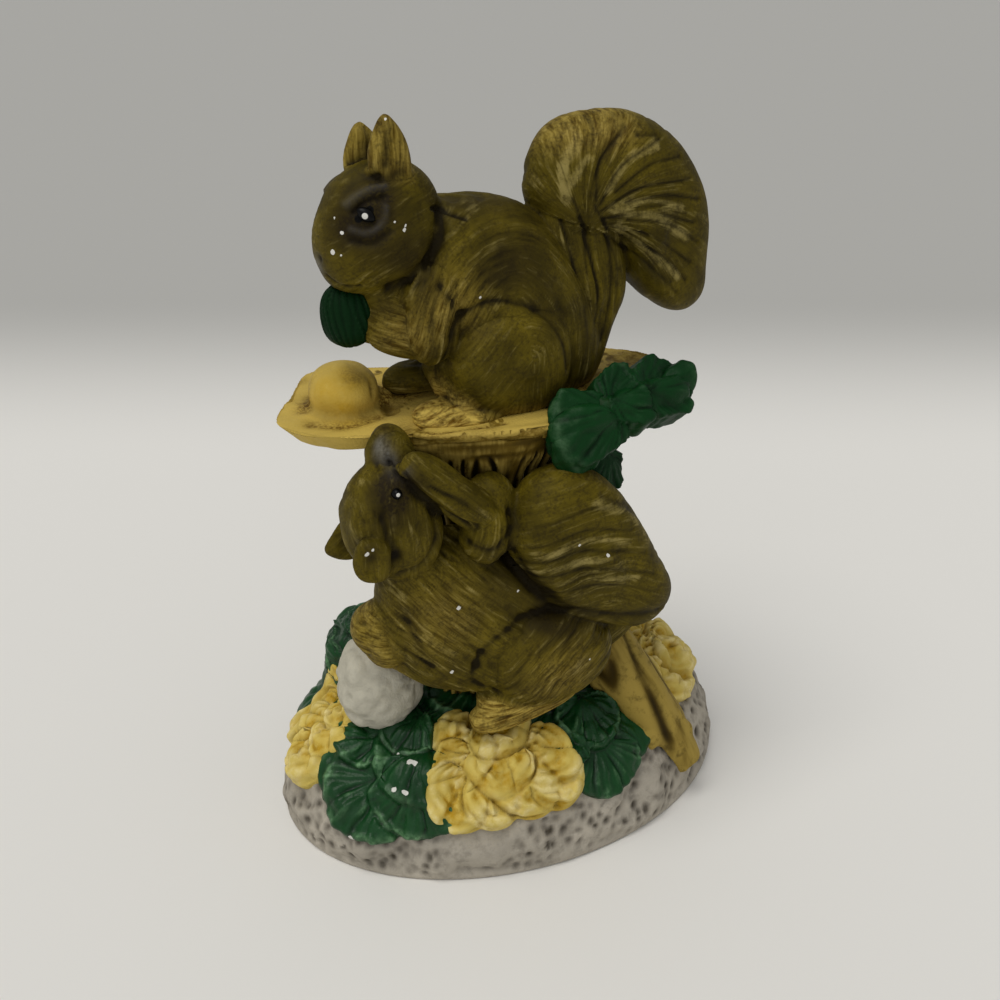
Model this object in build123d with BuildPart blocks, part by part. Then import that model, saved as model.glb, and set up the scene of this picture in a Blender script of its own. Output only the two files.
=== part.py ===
from build123d import *

import os
from math import cos, hypot, pi, radians, sin

# Bisque porcelain figurine: two squirrels on a broken tree stump, on a rocky oval base with ivy.
# The group is made as a slip caster makes it: the base, the stump, each squirrel's body, head, limbs
# and tail, the nut, the stone and the leaf sprigs are separate castings, luted together before firing.
# Each casting is one solid, cut to the castings that carry it, so that the luted faces meet.
# Millimetres. +Z is up, the long axis of the base lies along X, and both squirrels face -X.
# The origin is the centre of the foot, on the surface that the figurine stands on.

# Rocky base: an oval mound, drained hollow and open underneath
BASE_LONG = 100.0
BASE_WIDE = 72.0
MOUND_TALL = 28.0
BASE_WALL = 4.5
FOOT_INSET = 1.0
MOUND_SQUARENESS = 2.5
MOUND_LEVEL_SHARES = (0.12, 0.4, 0.66, 0.84, 0.94, 0.99)

# Knoll at the back left of the base, under the tall ivy
KNOLL_LONG = 26.0
KNOLL_WIDE = 25.0
KNOLL_TALL = 30.0
KNOLL_PLACE_SHARES = (-0.44, 0.42, 0.72)

# Stump: a waisted trunk that flares to cup the broken top
TRUNK_X = -5.0
TRUNK_Y = 0.5
TRUNK_FOOT_Z = 12.0
TRUNK_WAIST = 27.0
TRUNK_THIN = 23.0
FLUTE_DEEP = 0.7
FLUTE_COUNT = 8
BARK_LIP = 1.6
TRUNK_LEVEL_SHARES = ((0.0, 1.3, 1.24), (0.16, 1.18, 1.12), (0.36, 1.04, 1.02), (0.58, 1.0, 1.0),
                      (0.76, 1.16, 1.14), (0.89, 1.56, 1.5), (1.0, 1.94, 1.84))

# Roots: start height, and start and end places as shares of half the base's length and width
ROOT_THICK = 11.5
ROOT_TALL = 46.0
ROOT_SHARES = (("stump_root_front", 0.2, -0.3, 1.0, 0.6, -0.78),
               ("stump_root_right", 0.12, 0.14, 0.72, 0.66, 0.34),
               ("stump_root_back", -0.2, 0.2, 0.8, -0.08, 0.84))

# Broken top of the stump, a slab of pale wood drawn out to a splinter on the left
PLATE_TOP = 90.0
PLATE_THICK = 3.6
PLATE_LONG = 78.0
PLATE_WIDE = 42.0
PLATE_X = -5.0
PLATE_Y = 0.0
PLATE_UNDER_SHARE = 0.9
PLATE_SHARES = ((-0.5, -0.06), (-0.44, -0.2), (-0.3, -0.31), (-0.16, -0.43), (-0.02, -0.5),
                (0.12, -0.51), (0.26, -0.46), (0.4, -0.36), (0.48, -0.18), (0.48, 0.04),
                (0.38, 0.22), (0.22, 0.3), (0.06, 0.34), (-0.08, 0.37), (-0.2, 0.46),
                (-0.3, 0.53), (-0.37, 0.46), (-0.43, 0.28), (-0.49, 0.1))
BURL_LONG = 13.0
BURL_WIDE = 15.0
BURL_TALL = 12.0
BURL_PLACE_SHARES = (-0.33, 0.1, 0.1)

# Upper squirrel, UPPER_TALL from its seat to its ear tip. The outs are measured from its middle
UPPER_TALL = 50.0
UPPER_Y = -2.0
UPPER_TORSO_THICK = 24.0
UPPER_HEAD_THICK = 17.6
UPPER_HAUNCH_THICK = 13.0
UPPER_HAUNCH_OUT = 8.0
UPPER_ARM_THICK = 8.6
UPPER_ARM_OUT = 6.6
UPPER_FOREARM_THICK = 7.0
UPPER_FOREARM_OUT = 3.9
UPPER_FOOT_LONG = 17.0
UPPER_FOOT_WIDE = 7.6
UPPER_FOOT_TALL = 7.0
UPPER_FOOT_OUT = 7.5
UPPER_EAR_THICK = 4.2
UPPER_EAR_OUT = 4.2
STEM_THICK = 15.0
PLUME_THICK = 18.5
NUT_TALL = 11.4
NUT_WIDE = 9.4

# Lower squirrel, climbing the stump from its seat on the mound, with its head thrown back
LOWER_TALL = 50.0
LOWER_SEAT_Z = 30.0
LOWER_TORSO_Y = -16.0
LOWER_TORSO_THICK = 22.0
LOWER_HEAD_Y = -17.0
LOWER_HEAD_THICK = 16.6
LOWER_EAR_THICK = 4.6
LOWER_NEAR_EAR_Y = -24.4
LOWER_FAR_EAR_Y = -11.0
LOWER_SHOULDER_Y = -22.0
LOWER_SHOULDER_THICK = 9.0
LOWER_FOREARM_THICK = 7.4
LOWER_FOREARM_Y = -22.5
LOWER_FAR_FOREARM_Y = -9.5
LOWER_HAUNCH_Y = -22.5
LOWER_HAUNCH_THICK = 16.0
LOWER_FOREPAW_Y = -14.5
LOWER_FOREPAW_THICK = 13.0
LOWER_FOOT_THICK = 7.4
LOWER_FOOT_Y = -23.0
LOWER_TAIL_Y = -22.5
LOWER_TAIL_THICK = 17.5
LOWER_RUMP_THICK = 12.0
LOWER_RUMP_Y = -17.0

# Pale stone under the lower squirrel's forepaw, placed as shares of the half base and the mound
STONE_LONG = 17.5
STONE_WIDE = 16.0
STONE_TALL = 20.0
STONE_PLACE_SHARES = (-0.6, -0.15, 1.2)

# Ivy leaves: a round blade with lobes about it. A sprig is a coat of leaves over the ground
LEAF_RADIUS = 8.0
LEAF_THICK = 2.0
LEAF_STEP = 1.1
LEAF_SEAT = 4.0
LEAF_HEM = 7.0
LEAF_LOBES = 5
BLADE_SHARE = 0.9
LOBE_SHARE = 0.38
# Leaves on the ground: place as shares of half the base's length and width, size, heading in degrees,
# and how much of a leaf step it stands above the sprig
GROUND_LEAF_SHARES = {
    "ivy_knoll": ((-0.496, 0.375, 0.82, 150, 1), (-0.668, 0.375, 0.88, 190, 0),
                  (-0.6, 0.611, 0.88, 130, 1), (-0.4, 0.667, 0.88, 90, 0), (-0.76, 0.556, 0.8, 160, 0),
                  (-0.52, 0.806, 0.75, 110, 0)),
    "ivy_front_left": ((-0.372, -0.239, 0.8, 215, 0), (-0.768, -0.233, 0.88, 185, 0),
                       (-0.8, -0.444, 0.82, 235, 1), (-0.636, -0.639, 0.85, 275, 0),
                       (-0.572, -0.489, 0.78, 255, 1), (-0.512, -0.317, 0.65, 235, 0)),
    "ivy_front_right": ((0.172, -0.494, 0.68, 60, 0), (0.012, -0.644, 0.72, 170, 0),
                        (0.292, -0.761, 0.7, 330, 0), (0.14, -0.861, 0.8, 265, 0),
                        (0.164, -0.678, 0.72, 250, 1)),
    "ivy_back_right": ((0.5, 0.339, 0.82, 60, 0), (0.62, 0.5, 0.8, 45, 1), (0.72, 0.239, 0.75, 10, 0),
                       (0.44, 0.619, 0.75, 100, 0)),
    "ivy_back": ((-0.14, 0.739, 0.72, 110, 0), (-0.24, 0.833, 0.57, 120, 1)),
    "yellow_leaves_front": ((-0.24, -0.528, 0.72, 90, 0), (-0.404, -0.572, 0.7, 195, 0),
                            (-0.392, -0.761, 0.8, 255, 1), (-0.16, -0.806, 0.82, 290, 1),
                            (-0.248, -0.667, 0.7, 265, 0)),
    "yellow_leaves_left": ((-0.762, 0.333, 0.72, 165, 0), (-0.848, 0.128, 0.68, 190, 1),
                           (-0.872, -0.083, 0.57, 215, 0), (-0.728, 0.1, 0.65, 100, 0)),
    "yellow_leaves_right": ((0.62, 0.056, 0.8, 100, 0), (0.74, -0.169, 0.78, 30, 1),
                            (0.752, -0.336, 0.68, 340, 0)),
    "yellow_leaves_back": ((0.192, 0.694, 0.8, 90, 1), (0.04, 0.761, 0.75, 110, 0),
                           (0.06, 0.581, 0.72, 200, 0), (0.3, 0.778, 0.65, 60, 0)),
}
# Leaves on the broken top's edge: place as shares of its length, width and thickness, turn, tilt, size
EDGE_LEAF_SHARES = {
    "stump_leaf_right": ((0.26, -0.42, 0.2, -85, 50, 0.8), (0.37, -0.38, 0.1, -70, 45, 0.84)),
    "stump_leaf_front": ((0.14, -0.48, -0.6, -92, 38, 0.9),),
    "stump_leaf_low": ((0.215, -0.4, -3.6, -80, 5, 0.6),),
}

# How a casting rounds off from its middle to its two sides: place and size of each section
ROUND_SHARES = ((-1.0, 0.16), (-0.84, 0.6), (-0.45, 0.93), (0.0, 1.0), (0.45, 0.93), (0.84, 0.6), (1.0, 0.16))
LIMB_SHARES = ((0.02, 0.46), (0.12, 0.82), (0.34, 1.0), (0.62, 1.0), (0.86, 0.8), (0.98, 0.44))
ROOT_LEVEL_SHARES = ((0.0, 0.86), (0.25, 0.94), (0.55, 1.0), (0.82, 0.84), (0.98, 0.56))

# Side outlines of the upper squirrel, as shares of UPPER_TALL from its seat
UPPER_TORSO_SHARES = ((-0.32, 0.75), (-0.16, 0.74), (0.0, 0.71), (0.12, 0.62), (0.22, 0.48),
                      (0.3, 0.32), (0.35, 0.16), (0.32, 0.02), (0.2, -0.06), (0.04, -0.08),
                      (-0.12, -0.06), (-0.24, 0.04), (-0.29, 0.18), (-0.31, 0.28), (-0.36, 0.4),
                      (-0.4, 0.52), (-0.39, 0.64))
UPPER_HEAD_SHARES = ((-0.7, 0.55), (-0.71, 0.64), (-0.68, 0.74), (-0.62, 0.83), (-0.52, 0.88),
                     (-0.4, 0.88), (-0.31, 0.81), (-0.28, 0.7), (-0.31, 0.58), (-0.39, 0.49),
                     (-0.5, 0.45), (-0.6, 0.46), (-0.67, 0.49))
UPPER_HAUNCH_SHARES = ((-0.3, 0.18), (-0.26, 0.3), (-0.16, 0.38), (-0.04, 0.4), (0.08, 0.35),
                       (0.15, 0.22), (0.14, 0.08), (0.06, -0.02), (-0.08, -0.04), (-0.22, 0.02))
UPPER_ARM_SHARES = ((-0.41, 0.54), (-0.33, 0.56), (-0.27, 0.46), (-0.27, 0.32), (-0.31, 0.22),
                    (-0.38, 0.2), (-0.44, 0.28), (-0.45, 0.42))
UPPER_FOREARM_SHARES = ((-0.26, 0.24), (-0.34, 0.21), (-0.48, 0.23), (-0.57, 0.3), (-0.54, 0.4),
                        (-0.49, 0.44), (-0.44, 0.38), (-0.34, 0.35), (-0.26, 0.32))
UPPER_NEAR_EAR_SHARES = ((-0.47, 1.04), (-0.42, 0.97), (-0.4, 0.88), (-0.41, 0.82), (-0.51, 0.82),
                         (-0.54, 0.9), (-0.52, 0.99))
UPPER_FAR_EAR_SHARES = ((-0.5, 0.99), (-0.45, 0.93), (-0.43, 0.83), (-0.44, 0.77), (-0.54, 0.77),
                        (-0.57, 0.85), (-0.55, 0.94))
STEM_SHARES = ((0.19, -0.07), (0.29, -0.06), (0.35, 0.04), (0.4, 0.18), (0.45, 0.32), (0.44, 0.48),
               (0.38, 0.64), (0.26, 0.76), (0.12, 0.76), (0.09, 0.6), (0.16, 0.38), (0.17, 0.14))
PLUME_SHARES = ((0.07, 0.7), (0.08, 0.84), (0.16, 0.95), (0.28, 0.98), (0.4, 0.98), (0.56, 0.93),
                (0.68, 0.83), (0.77, 0.69), (0.81, 0.52), (0.81, 0.36), (0.8, 0.26), (0.74, 0.21),
                (0.66, 0.22), (0.58, 0.27), (0.51, 0.33), (0.45, 0.42), (0.41, 0.52), (0.35, 0.6),
                (0.24, 0.6), (0.14, 0.6))
UPPER_FOOT_SHARE = (-0.28, 0.035)
NUT_SHARE = (-0.615, 0.376)

# Side outlines of the lower squirrel, as shares of LOWER_TALL from its seat
LOWER_TORSO_SHARES = ((-0.44, 0.8), (-0.28, 0.78), (-0.12, 0.7), (0.02, 0.58), (0.16, 0.44),
                      (0.25, 0.28), (0.18, 0.12), (-0.04, 0.06), (-0.26, 0.1), (-0.46, 0.17),
                      (-0.6, 0.28), (-0.65, 0.46), (-0.65, 0.64), (-0.58, 0.76))
LOWER_HEAD_SHARES = ((-0.6, 1.16), (-0.68, 1.11), (-0.74, 1.04), (-0.77, 0.94), (-0.76, 0.83),
                     (-0.69, 0.74), (-0.58, 0.7), (-0.48, 0.73), (-0.43, 0.82), (-0.43, 0.93),
                     (-0.47, 1.03), (-0.53, 1.12))
LOWER_NEAR_EAR_SHARES = ((-0.72, 0.94), (-0.66, 0.91), (-0.65, 0.84), (-0.69, 0.78), (-0.76, 0.79),
                         (-0.79, 0.86), (-0.77, 0.92))
LOWER_FAR_EAR_SHARES = ((-0.81, 0.78), (-0.76, 0.86), (-0.7, 0.9), (-0.64, 0.86), (-0.64, 0.76),
                        (-0.7, 0.73), (-0.77, 0.74))
LOWER_SHOULDER_SHARES = ((-0.36, 0.9), (-0.28, 0.96), (-0.2, 0.92), (-0.17, 0.83), (-0.21, 0.75),
                         (-0.3, 0.73), (-0.37, 0.8))
LOWER_HAUNCH_SHARES = ((-0.28, 0.32), (-0.24, 0.43), (-0.12, 0.49), (0.02, 0.48), (0.15, 0.4),
                       (0.23, 0.28), (0.19, 0.15), (0.06, 0.07), (-0.1, 0.06), (-0.23, 0.14))
LOWER_FOREPAW_SHARES = ((-0.75, 0.45), (-0.7, 0.53), (-0.61, 0.55), (-0.5, 0.44), (-0.4, 0.3),
                        (-0.42, 0.19), (-0.54, 0.21), (-0.66, 0.32))
LOWER_TAIL_SHARES = ((-0.07, 1.03), (0.03, 1.04), (0.12, 1.01), (0.22, 0.93), (0.33, 0.77),
                     (0.44, 0.57), (0.49, 0.42), (0.44, 0.33), (0.34, 0.3), (0.18, 0.36),
                     (0.02, 0.44), (-0.1, 0.56), (-0.18, 0.71), (-0.19, 0.84), (-0.15, 0.96))
LOWER_FOREARM_SHARES = ((-0.58, 1.19), (-0.24, 0.86))
LOWER_FAR_FOREARM_SHARES = ((-0.6, 1.16), (-0.4, 0.8))
LOWER_FOOT_SHARES = ((0.1, 0.1), (-0.36, 0.02))
LOWER_RUMP_SHARES = ((0.46, 0.42), (0.08, 0.16))


def upper(shares):
    """Side outline of an upper squirrel's casting, from shares of its height."""
    return [(x * UPPER_TALL, PLATE_TOP + z * UPPER_TALL) for x, z in shares]


def lower(shares):
    """Side outline of a lower squirrel's casting, from shares of its height."""
    return [(x * LOWER_TALL, LOWER_SEAT_Z + z * LOWER_TALL) for x, z in shares]


def middle(outline):
    """The mean of an outline's points."""
    return sum(p[0] for p in outline) / len(outline), sum(p[1] for p in outline) / len(outline)


def drawn_in(outline, centre, share):
    """An outline drawn in towards a centre, to this share of its size."""
    return [(centre[0] + (x - centre[0]) * share, centre[1] + (y - centre[1]) * share) for x, y in outline]


def casting(name, shape, *carriers):
    """Cuts a shape to the castings that carry it, drops crumbs of the cut, names it and writes its file."""
    with BuildPart() as piece:
        add(shape)
        for carrier in carriers:
            add(carrier, mode=Mode.SUBTRACT)
    solid = piece.part.solids().sort_by(SortBy.VOLUME)[-1]
    solid.label = name
    export_step(solid, f"parts/{name}.step")
    return solid


def pillow(outline, side_y, thick):
    """A form with this outline seen from the side, that swells to half its thickness each way."""
    centre = middle(outline)
    half = thick / 2
    side = Plane(origin=(0, side_y, 0), x_dir=(1, 0, 0), z_dir=(0, -1, 0))
    with BuildPart() as form:
        for place, size in ROUND_SHARES:
            with BuildSketch(side.offset(place * half)):
                with BuildLine():
                    Spline(*drawn_in(outline, centre, size), periodic=True)
                make_face()
        loft()
    return form.part


def limb(start, end, thick, level_shares=LIMB_SHARES):
    """A round limb from start to end, as thick at each level as its shares say."""
    run = Vector(*end) - Vector(*start)
    with BuildPart() as form:
        for place, size in level_shares:
            with BuildSketch(Plane(origin=Vector(*start) + run * place, z_dir=run)):
                Circle(thick / 2 * size)
        loft()
    return form.part


def side_limb(outline, side_y, thick):
    """A limb that runs in a side plane, between two points of an outline."""
    (start_x, start_z), (end_x, end_z) = outline
    return limb((start_x, side_y, start_z), (end_x, side_y, end_z), thick)


def egg(long, wide, tall, centre):
    """An egg of these three sizes about a centre."""
    with BuildPart() as form:
        for place, size in ROUND_SHARES:
            with BuildSketch(Plane(origin=centre).offset(place * tall / 2)):
                Ellipse(long / 2 * size, wide / 2 * size)
        loft()
    return form.part


def mound_form(growth):
    """The mound's oval form from the foot up, grown all over by this much."""
    long, wide, tall = BASE_LONG + 2 * growth, BASE_WIDE + 2 * growth, MOUND_TALL + growth
    with BuildPart() as form:
        with BuildSketch(Plane.XY):
            Ellipse(long / 2 - FOOT_INSET, wide / 2 - FOOT_INSET)
        for level in MOUND_LEVEL_SHARES:
            reach = (1 - level**MOUND_SQUARENESS) ** (1 / MOUND_SQUARENESS)
            with BuildSketch(Plane.XY.offset(level * tall)):
                Ellipse(long / 2 * reach, wide / 2 * reach)
        loft()
    return form.part


def make_trunk():
    """The stump's trunk: fluted bark, a waist, and a flare that cups the broken top."""
    rise = PLATE_TOP - PLATE_THICK + BARK_LIP - TRUNK_FOOT_Z
    with BuildPart() as trunk:
        for place, long_share, wide_share in TRUNK_LEVEL_SHARES:
            outline = []
            for step in range(2 * FLUTE_COUNT):
                angle = pi * step / FLUTE_COUNT
                flute = FLUTE_DEEP * (step % 2)
                outline.append((TRUNK_X + (TRUNK_WAIST / 2 * long_share - flute) * cos(angle),
                                TRUNK_Y + (TRUNK_THIN / 2 * wide_share - flute) * sin(angle)))
            with BuildSketch(Plane.XY.offset(TRUNK_FOOT_Z + place * rise)):
                with BuildLine():
                    Spline(*outline, periodic=True)
                make_face()
        loft()
    return trunk.part


def make_plate():
    """The broken top of the stump: pale wood that narrows to its underside."""
    outline = [(PLATE_X + x * PLATE_LONG, PLATE_Y + y * PLATE_WIDE) for x, y in PLATE_SHARES]
    centre = middle(outline)
    levels = ((PLATE_THICK, PLATE_UNDER_SHARE), (PLATE_THICK / 2, (1 + PLATE_UNDER_SHARE) / 2), (0, 1))
    with BuildPart() as plate:
        for drop, size in levels:
            with BuildSketch(Plane.XY.offset(PLATE_TOP - drop)):
                with BuildLine():
                    Spline(*drawn_in(outline, centre, size), periodic=True)
                make_face()
        loft()
    return plate.part


def make_root(from_x_share, from_y_share, rise_share, to_x_share, to_y_share):
    """A root that leaves the trunk and runs down into the mound."""
    start = (from_x_share * BASE_LONG / 2, from_y_share * BASE_WIDE / 2, rise_share * ROOT_TALL)
    return limb(start, on_mound(to_x_share, to_y_share), ROOT_THICK, ROOT_LEVEL_SHARES)


def on_mound(share_x, share_y):
    """The point of the mound's surface over a place."""
    level = (1 - hypot(share_x, share_y) ** MOUND_SQUARENESS) ** (1 / MOUND_SQUARENESS)
    return share_x * BASE_LONG / 2, share_y * BASE_WIDE / 2, level * MOUND_TALL


def turned(turn, tilt):
    """The direction at this turn about +Z from +X, and this tilt above the level, in degrees."""
    flat = cos(radians(tilt))
    return Vector(flat * cos(radians(turn)), flat * sin(radians(turn)), sin(radians(tilt)))


def knoll_centre():
    """The centre of the knoll, from its place shares."""
    share_x, share_y, share_z = KNOLL_PLACE_SHARES
    return share_x * BASE_LONG / 2, share_y * BASE_WIDE / 2, share_z * MOUND_TALL


def draw_leaf(x, y, radius, heading):
    """Draws one lobed leaf into the open sketch, with a lobe towards its heading."""
    with Locations((x, y)):
        Circle(radius * BLADE_SHARE)
        with PolarLocations(radius * (1 - LOBE_SHARE), LEAF_LOBES, start_angle=heading):
            Circle(radius * LOBE_SHARE)


def make_coat(thick):
    """A coat of this thickness over the mound and the knoll, clear of the trunk."""
    with BuildPart() as coat:
        add(mound_form(thick))
        add(egg(KNOLL_LONG + 2 * thick, KNOLL_WIDE + 2 * thick, KNOLL_TALL + 2 * thick, knoll_centre()))
        add(mound, mode=Mode.SUBTRACT)
        add(knoll, mode=Mode.SUBTRACT)
        add(trunk, mode=Mode.SUBTRACT)
    return coat.part


def leaves_in(leaf_shares, coat, taken):
    """The stretch of a coat under these leaves, clear of the leaves before."""
    with BuildSketch() as leaves:
        for x, y, size, heading, _ in leaf_shares:
            draw_leaf(x * BASE_LONG / 2, y * BASE_WIDE / 2, size * LEAF_RADIUS, heading)
        for earlier in taken:
            add(earlier, mode=Mode.SUBTRACT)
    with BuildPart() as stretch:
        extrude(leaves.sketch.moved(Location((0, 0, LEAF_HEM))), amount=KNOLL_TALL + MOUND_TALL)
        add(coat, mode=Mode.INTERSECT)
    return stretch.part, leaves.sketch


def ground_sprig(leaf_shares, coats, taken):
    """A sprig of leaves on the ground, some of which stand a step above the others."""
    low_coat, high_coat = coats
    low, covered = leaves_in(leaf_shares, low_coat, taken)
    high, _ = leaves_in([leaf for leaf in leaf_shares if leaf[-1]], high_coat, taken)
    taken.append(covered)
    with BuildPart() as sprig:
        add(low)
        add(high)
    return sprig.part


def edge_sprig(leaf_shares):
    """A sprig of leaves that hangs over the edge of the broken top."""
    with BuildPart() as sprig:
        for x, y, z, turn, tilt, size in leaf_shares:
            point = (PLATE_X + x * PLATE_LONG, PLATE_Y + y * PLATE_WIDE, PLATE_TOP + z * PLATE_THICK)
            with BuildSketch(Plane(origin=point, z_dir=turned(turn, tilt)).offset(-LEAF_SEAT)):
                draw_leaf(0, 0, size * LEAF_RADIUS, turn)
            extrude(amount=LEAF_SEAT + LEAF_THICK)
    return sprig.part


def upper_pair(names, shares, out, thick, *carriers):
    """The near and far castings of a pair of limbs, either side of the upper squirrel's middle."""
    return [casting(name, pillow(upper(shares), UPPER_Y + side * out, thick), *carriers)
            for name, side in zip(names, (-1, 1))]


os.makedirs("parts", exist_ok=True)

# Mound, knoll and stone
mound = mound_form(0)
base = casting("rocky_base", mound, mound_form(-BASE_WALL))
knoll = casting("rear_knoll", egg(KNOLL_LONG, KNOLL_WIDE, KNOLL_TALL, knoll_centre()), mound)

# Stump
burl_x, burl_y, burl_z = BURL_PLACE_SHARES
burl_place = (PLATE_X + burl_x * PLATE_LONG, PLATE_Y + burl_y * PLATE_WIDE, PLATE_TOP + burl_z * BURL_TALL)
burl = casting("stump_burl", egg(BURL_LONG, BURL_WIDE, BURL_TALL, burl_place))
plate = casting("stump_top", make_plate(), burl)
trunk = casting("stump_trunk", make_trunk(), mound, knoll, plate, burl)
stone_x, stone_y, stone_z = STONE_PLACE_SHARES
stone_place = (stone_x * BASE_LONG / 2, stone_y * BASE_WIDE / 2, stone_z * MOUND_TALL)
stone = casting("pale_stone", egg(STONE_LONG, STONE_WIDE, STONE_TALL, stone_place), mound, knoll, trunk)

# Upper squirrel
upper_torso = casting("upper_torso", pillow(upper(UPPER_TORSO_SHARES), UPPER_Y, UPPER_TORSO_THICK), plate)
upper_head = casting("upper_head", pillow(upper(UPPER_HEAD_SHARES), UPPER_Y, UPPER_HEAD_THICK), upper_torso)
plume = casting("upper_tail_plume", pillow(upper(PLUME_SHARES), UPPER_Y, PLUME_THICK), upper_torso)
stem = casting("upper_tail_stem", pillow(upper(STEM_SHARES), UPPER_Y, STEM_THICK), upper_torso, plume, plate)
near_ear = pillow(upper(UPPER_NEAR_EAR_SHARES), UPPER_Y - UPPER_EAR_OUT, UPPER_EAR_THICK)
far_ear = pillow(upper(UPPER_FAR_EAR_SHARES), UPPER_Y + UPPER_EAR_OUT, UPPER_EAR_THICK)
casting("upper_near_ear", near_ear, upper_head)
casting("upper_far_ear", far_ear, upper_head)
haunches = upper_pair(("upper_near_haunch", "upper_far_haunch"), UPPER_HAUNCH_SHARES, UPPER_HAUNCH_OUT,
                      UPPER_HAUNCH_THICK, upper_torso, plate, stem)
foot_x, foot_z = upper((UPPER_FOOT_SHARE,))[0]
for name, side in (("upper_near_foot", -1), ("upper_far_foot", 1)):
    foot_place = (foot_x, UPPER_Y + side * UPPER_FOOT_OUT, foot_z)
    foot = egg(UPPER_FOOT_LONG, UPPER_FOOT_WIDE, UPPER_FOOT_TALL, foot_place)
    casting(name, foot, upper_torso, plate, *haunches)
nut_x, nut_z = upper((NUT_SHARE,))[0]
nut = casting("nut", egg(NUT_WIDE, NUT_WIDE, NUT_TALL, (nut_x, UPPER_Y, nut_z)), upper_head)
arms = upper_pair(("upper_near_arm", "upper_far_arm"), UPPER_ARM_SHARES, UPPER_ARM_OUT, UPPER_ARM_THICK,
                  upper_torso, upper_head, *haunches)
upper_pair(("upper_near_forearm", "upper_far_forearm"), UPPER_FOREARM_SHARES, UPPER_FOREARM_OUT,
           UPPER_FOREARM_THICK, upper_torso, upper_head, nut, *arms)

# Lower squirrel
lower_torso = casting("lower_torso", pillow(lower(LOWER_TORSO_SHARES), LOWER_TORSO_Y, LOWER_TORSO_THICK),
                      mound, trunk, stone)
lower_head = casting("lower_head", pillow(lower(LOWER_HEAD_SHARES), LOWER_HEAD_Y, LOWER_HEAD_THICK),
                     lower_torso, trunk, plate)
ears = [casting("lower_near_ear", pillow(lower(LOWER_NEAR_EAR_SHARES), LOWER_NEAR_EAR_Y, LOWER_EAR_THICK),
                lower_head, lower_torso),
        casting("lower_far_ear", pillow(lower(LOWER_FAR_EAR_SHARES), LOWER_FAR_EAR_Y, LOWER_EAR_THICK),
                lower_head, lower_torso, trunk)]
forearm = casting("lower_near_forearm",
                  side_limb(lower(LOWER_FOREARM_SHARES), LOWER_FOREARM_Y, LOWER_FOREARM_THICK),
                  lower_head, lower_torso, trunk, plate)
casting("lower_far_forearm",
        side_limb(lower(LOWER_FAR_FOREARM_SHARES), LOWER_FAR_FOREARM_Y, LOWER_FOREARM_THICK),
        lower_head, lower_torso, trunk, plate, *ears)
haunch = casting("lower_haunch", pillow(lower(LOWER_HAUNCH_SHARES), LOWER_HAUNCH_Y, LOWER_HAUNCH_THICK),
                 lower_torso, trunk, mound)
tail = casting("lower_tail", pillow(lower(LOWER_TAIL_SHARES), LOWER_TAIL_Y, LOWER_TAIL_THICK),
               lower_torso, trunk, haunch, plate)
casting("lower_shoulder", pillow(lower(LOWER_SHOULDER_SHARES), LOWER_SHOULDER_Y, LOWER_SHOULDER_THICK),
        lower_torso, forearm, trunk, tail, lower_head)
rump = casting("lower_tail_root", side_limb(lower(LOWER_RUMP_SHARES), LOWER_RUMP_Y, LOWER_RUMP_THICK),
               lower_torso, trunk, haunch, tail, mound)
forepaw = casting("lower_forepaw", pillow(lower(LOWER_FOREPAW_SHARES), LOWER_FOREPAW_Y, LOWER_FOREPAW_THICK),
                  lower_torso, stone, trunk, mound, knoll)
foot = casting("lower_foot", side_limb(lower(LOWER_FOOT_SHARES), LOWER_FOOT_Y, LOWER_FOOT_THICK),
               haunch, lower_torso, stone, mound, rump)

# Roots
roots = [casting(name, make_root(*shares), mound, trunk, knoll, haunch, lower_torso, rump)
         for name, *shares in ROOT_SHARES]

# Leaves, each sprig cut to what stands on the ground and to the sprigs before it
coats = [make_coat(LEAF_THICK), make_coat(LEAF_THICK + LEAF_STEP)]
taken = []
for name, shares in GROUND_LEAF_SHARES.items():
    casting(name, ground_sprig(shares, coats, taken), stone, haunch, lower_torso, foot, forepaw, *roots)
stump = [plate, trunk, tail, *haunches]
for name, shares in EDGE_LEAF_SHARES.items():
    stump.append(casting(name, edge_sprig(shares), *stump))
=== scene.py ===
"""Squirrel figurine: two squirrels on a broken stump, in painted bisque porcelain.

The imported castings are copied, luted together, smoothed and modelled on with brushes: fur, creases, bark,
leaf veins and pitted rock. All modelling is in millimetres and is turned into metres when it is written.
"""
import math

import bpy
import numpy as np
from bpy.props import FloatProperty, FloatVectorProperty, PointerProperty
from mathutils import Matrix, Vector
from mathutils.bvhtree import BVHTree


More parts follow.
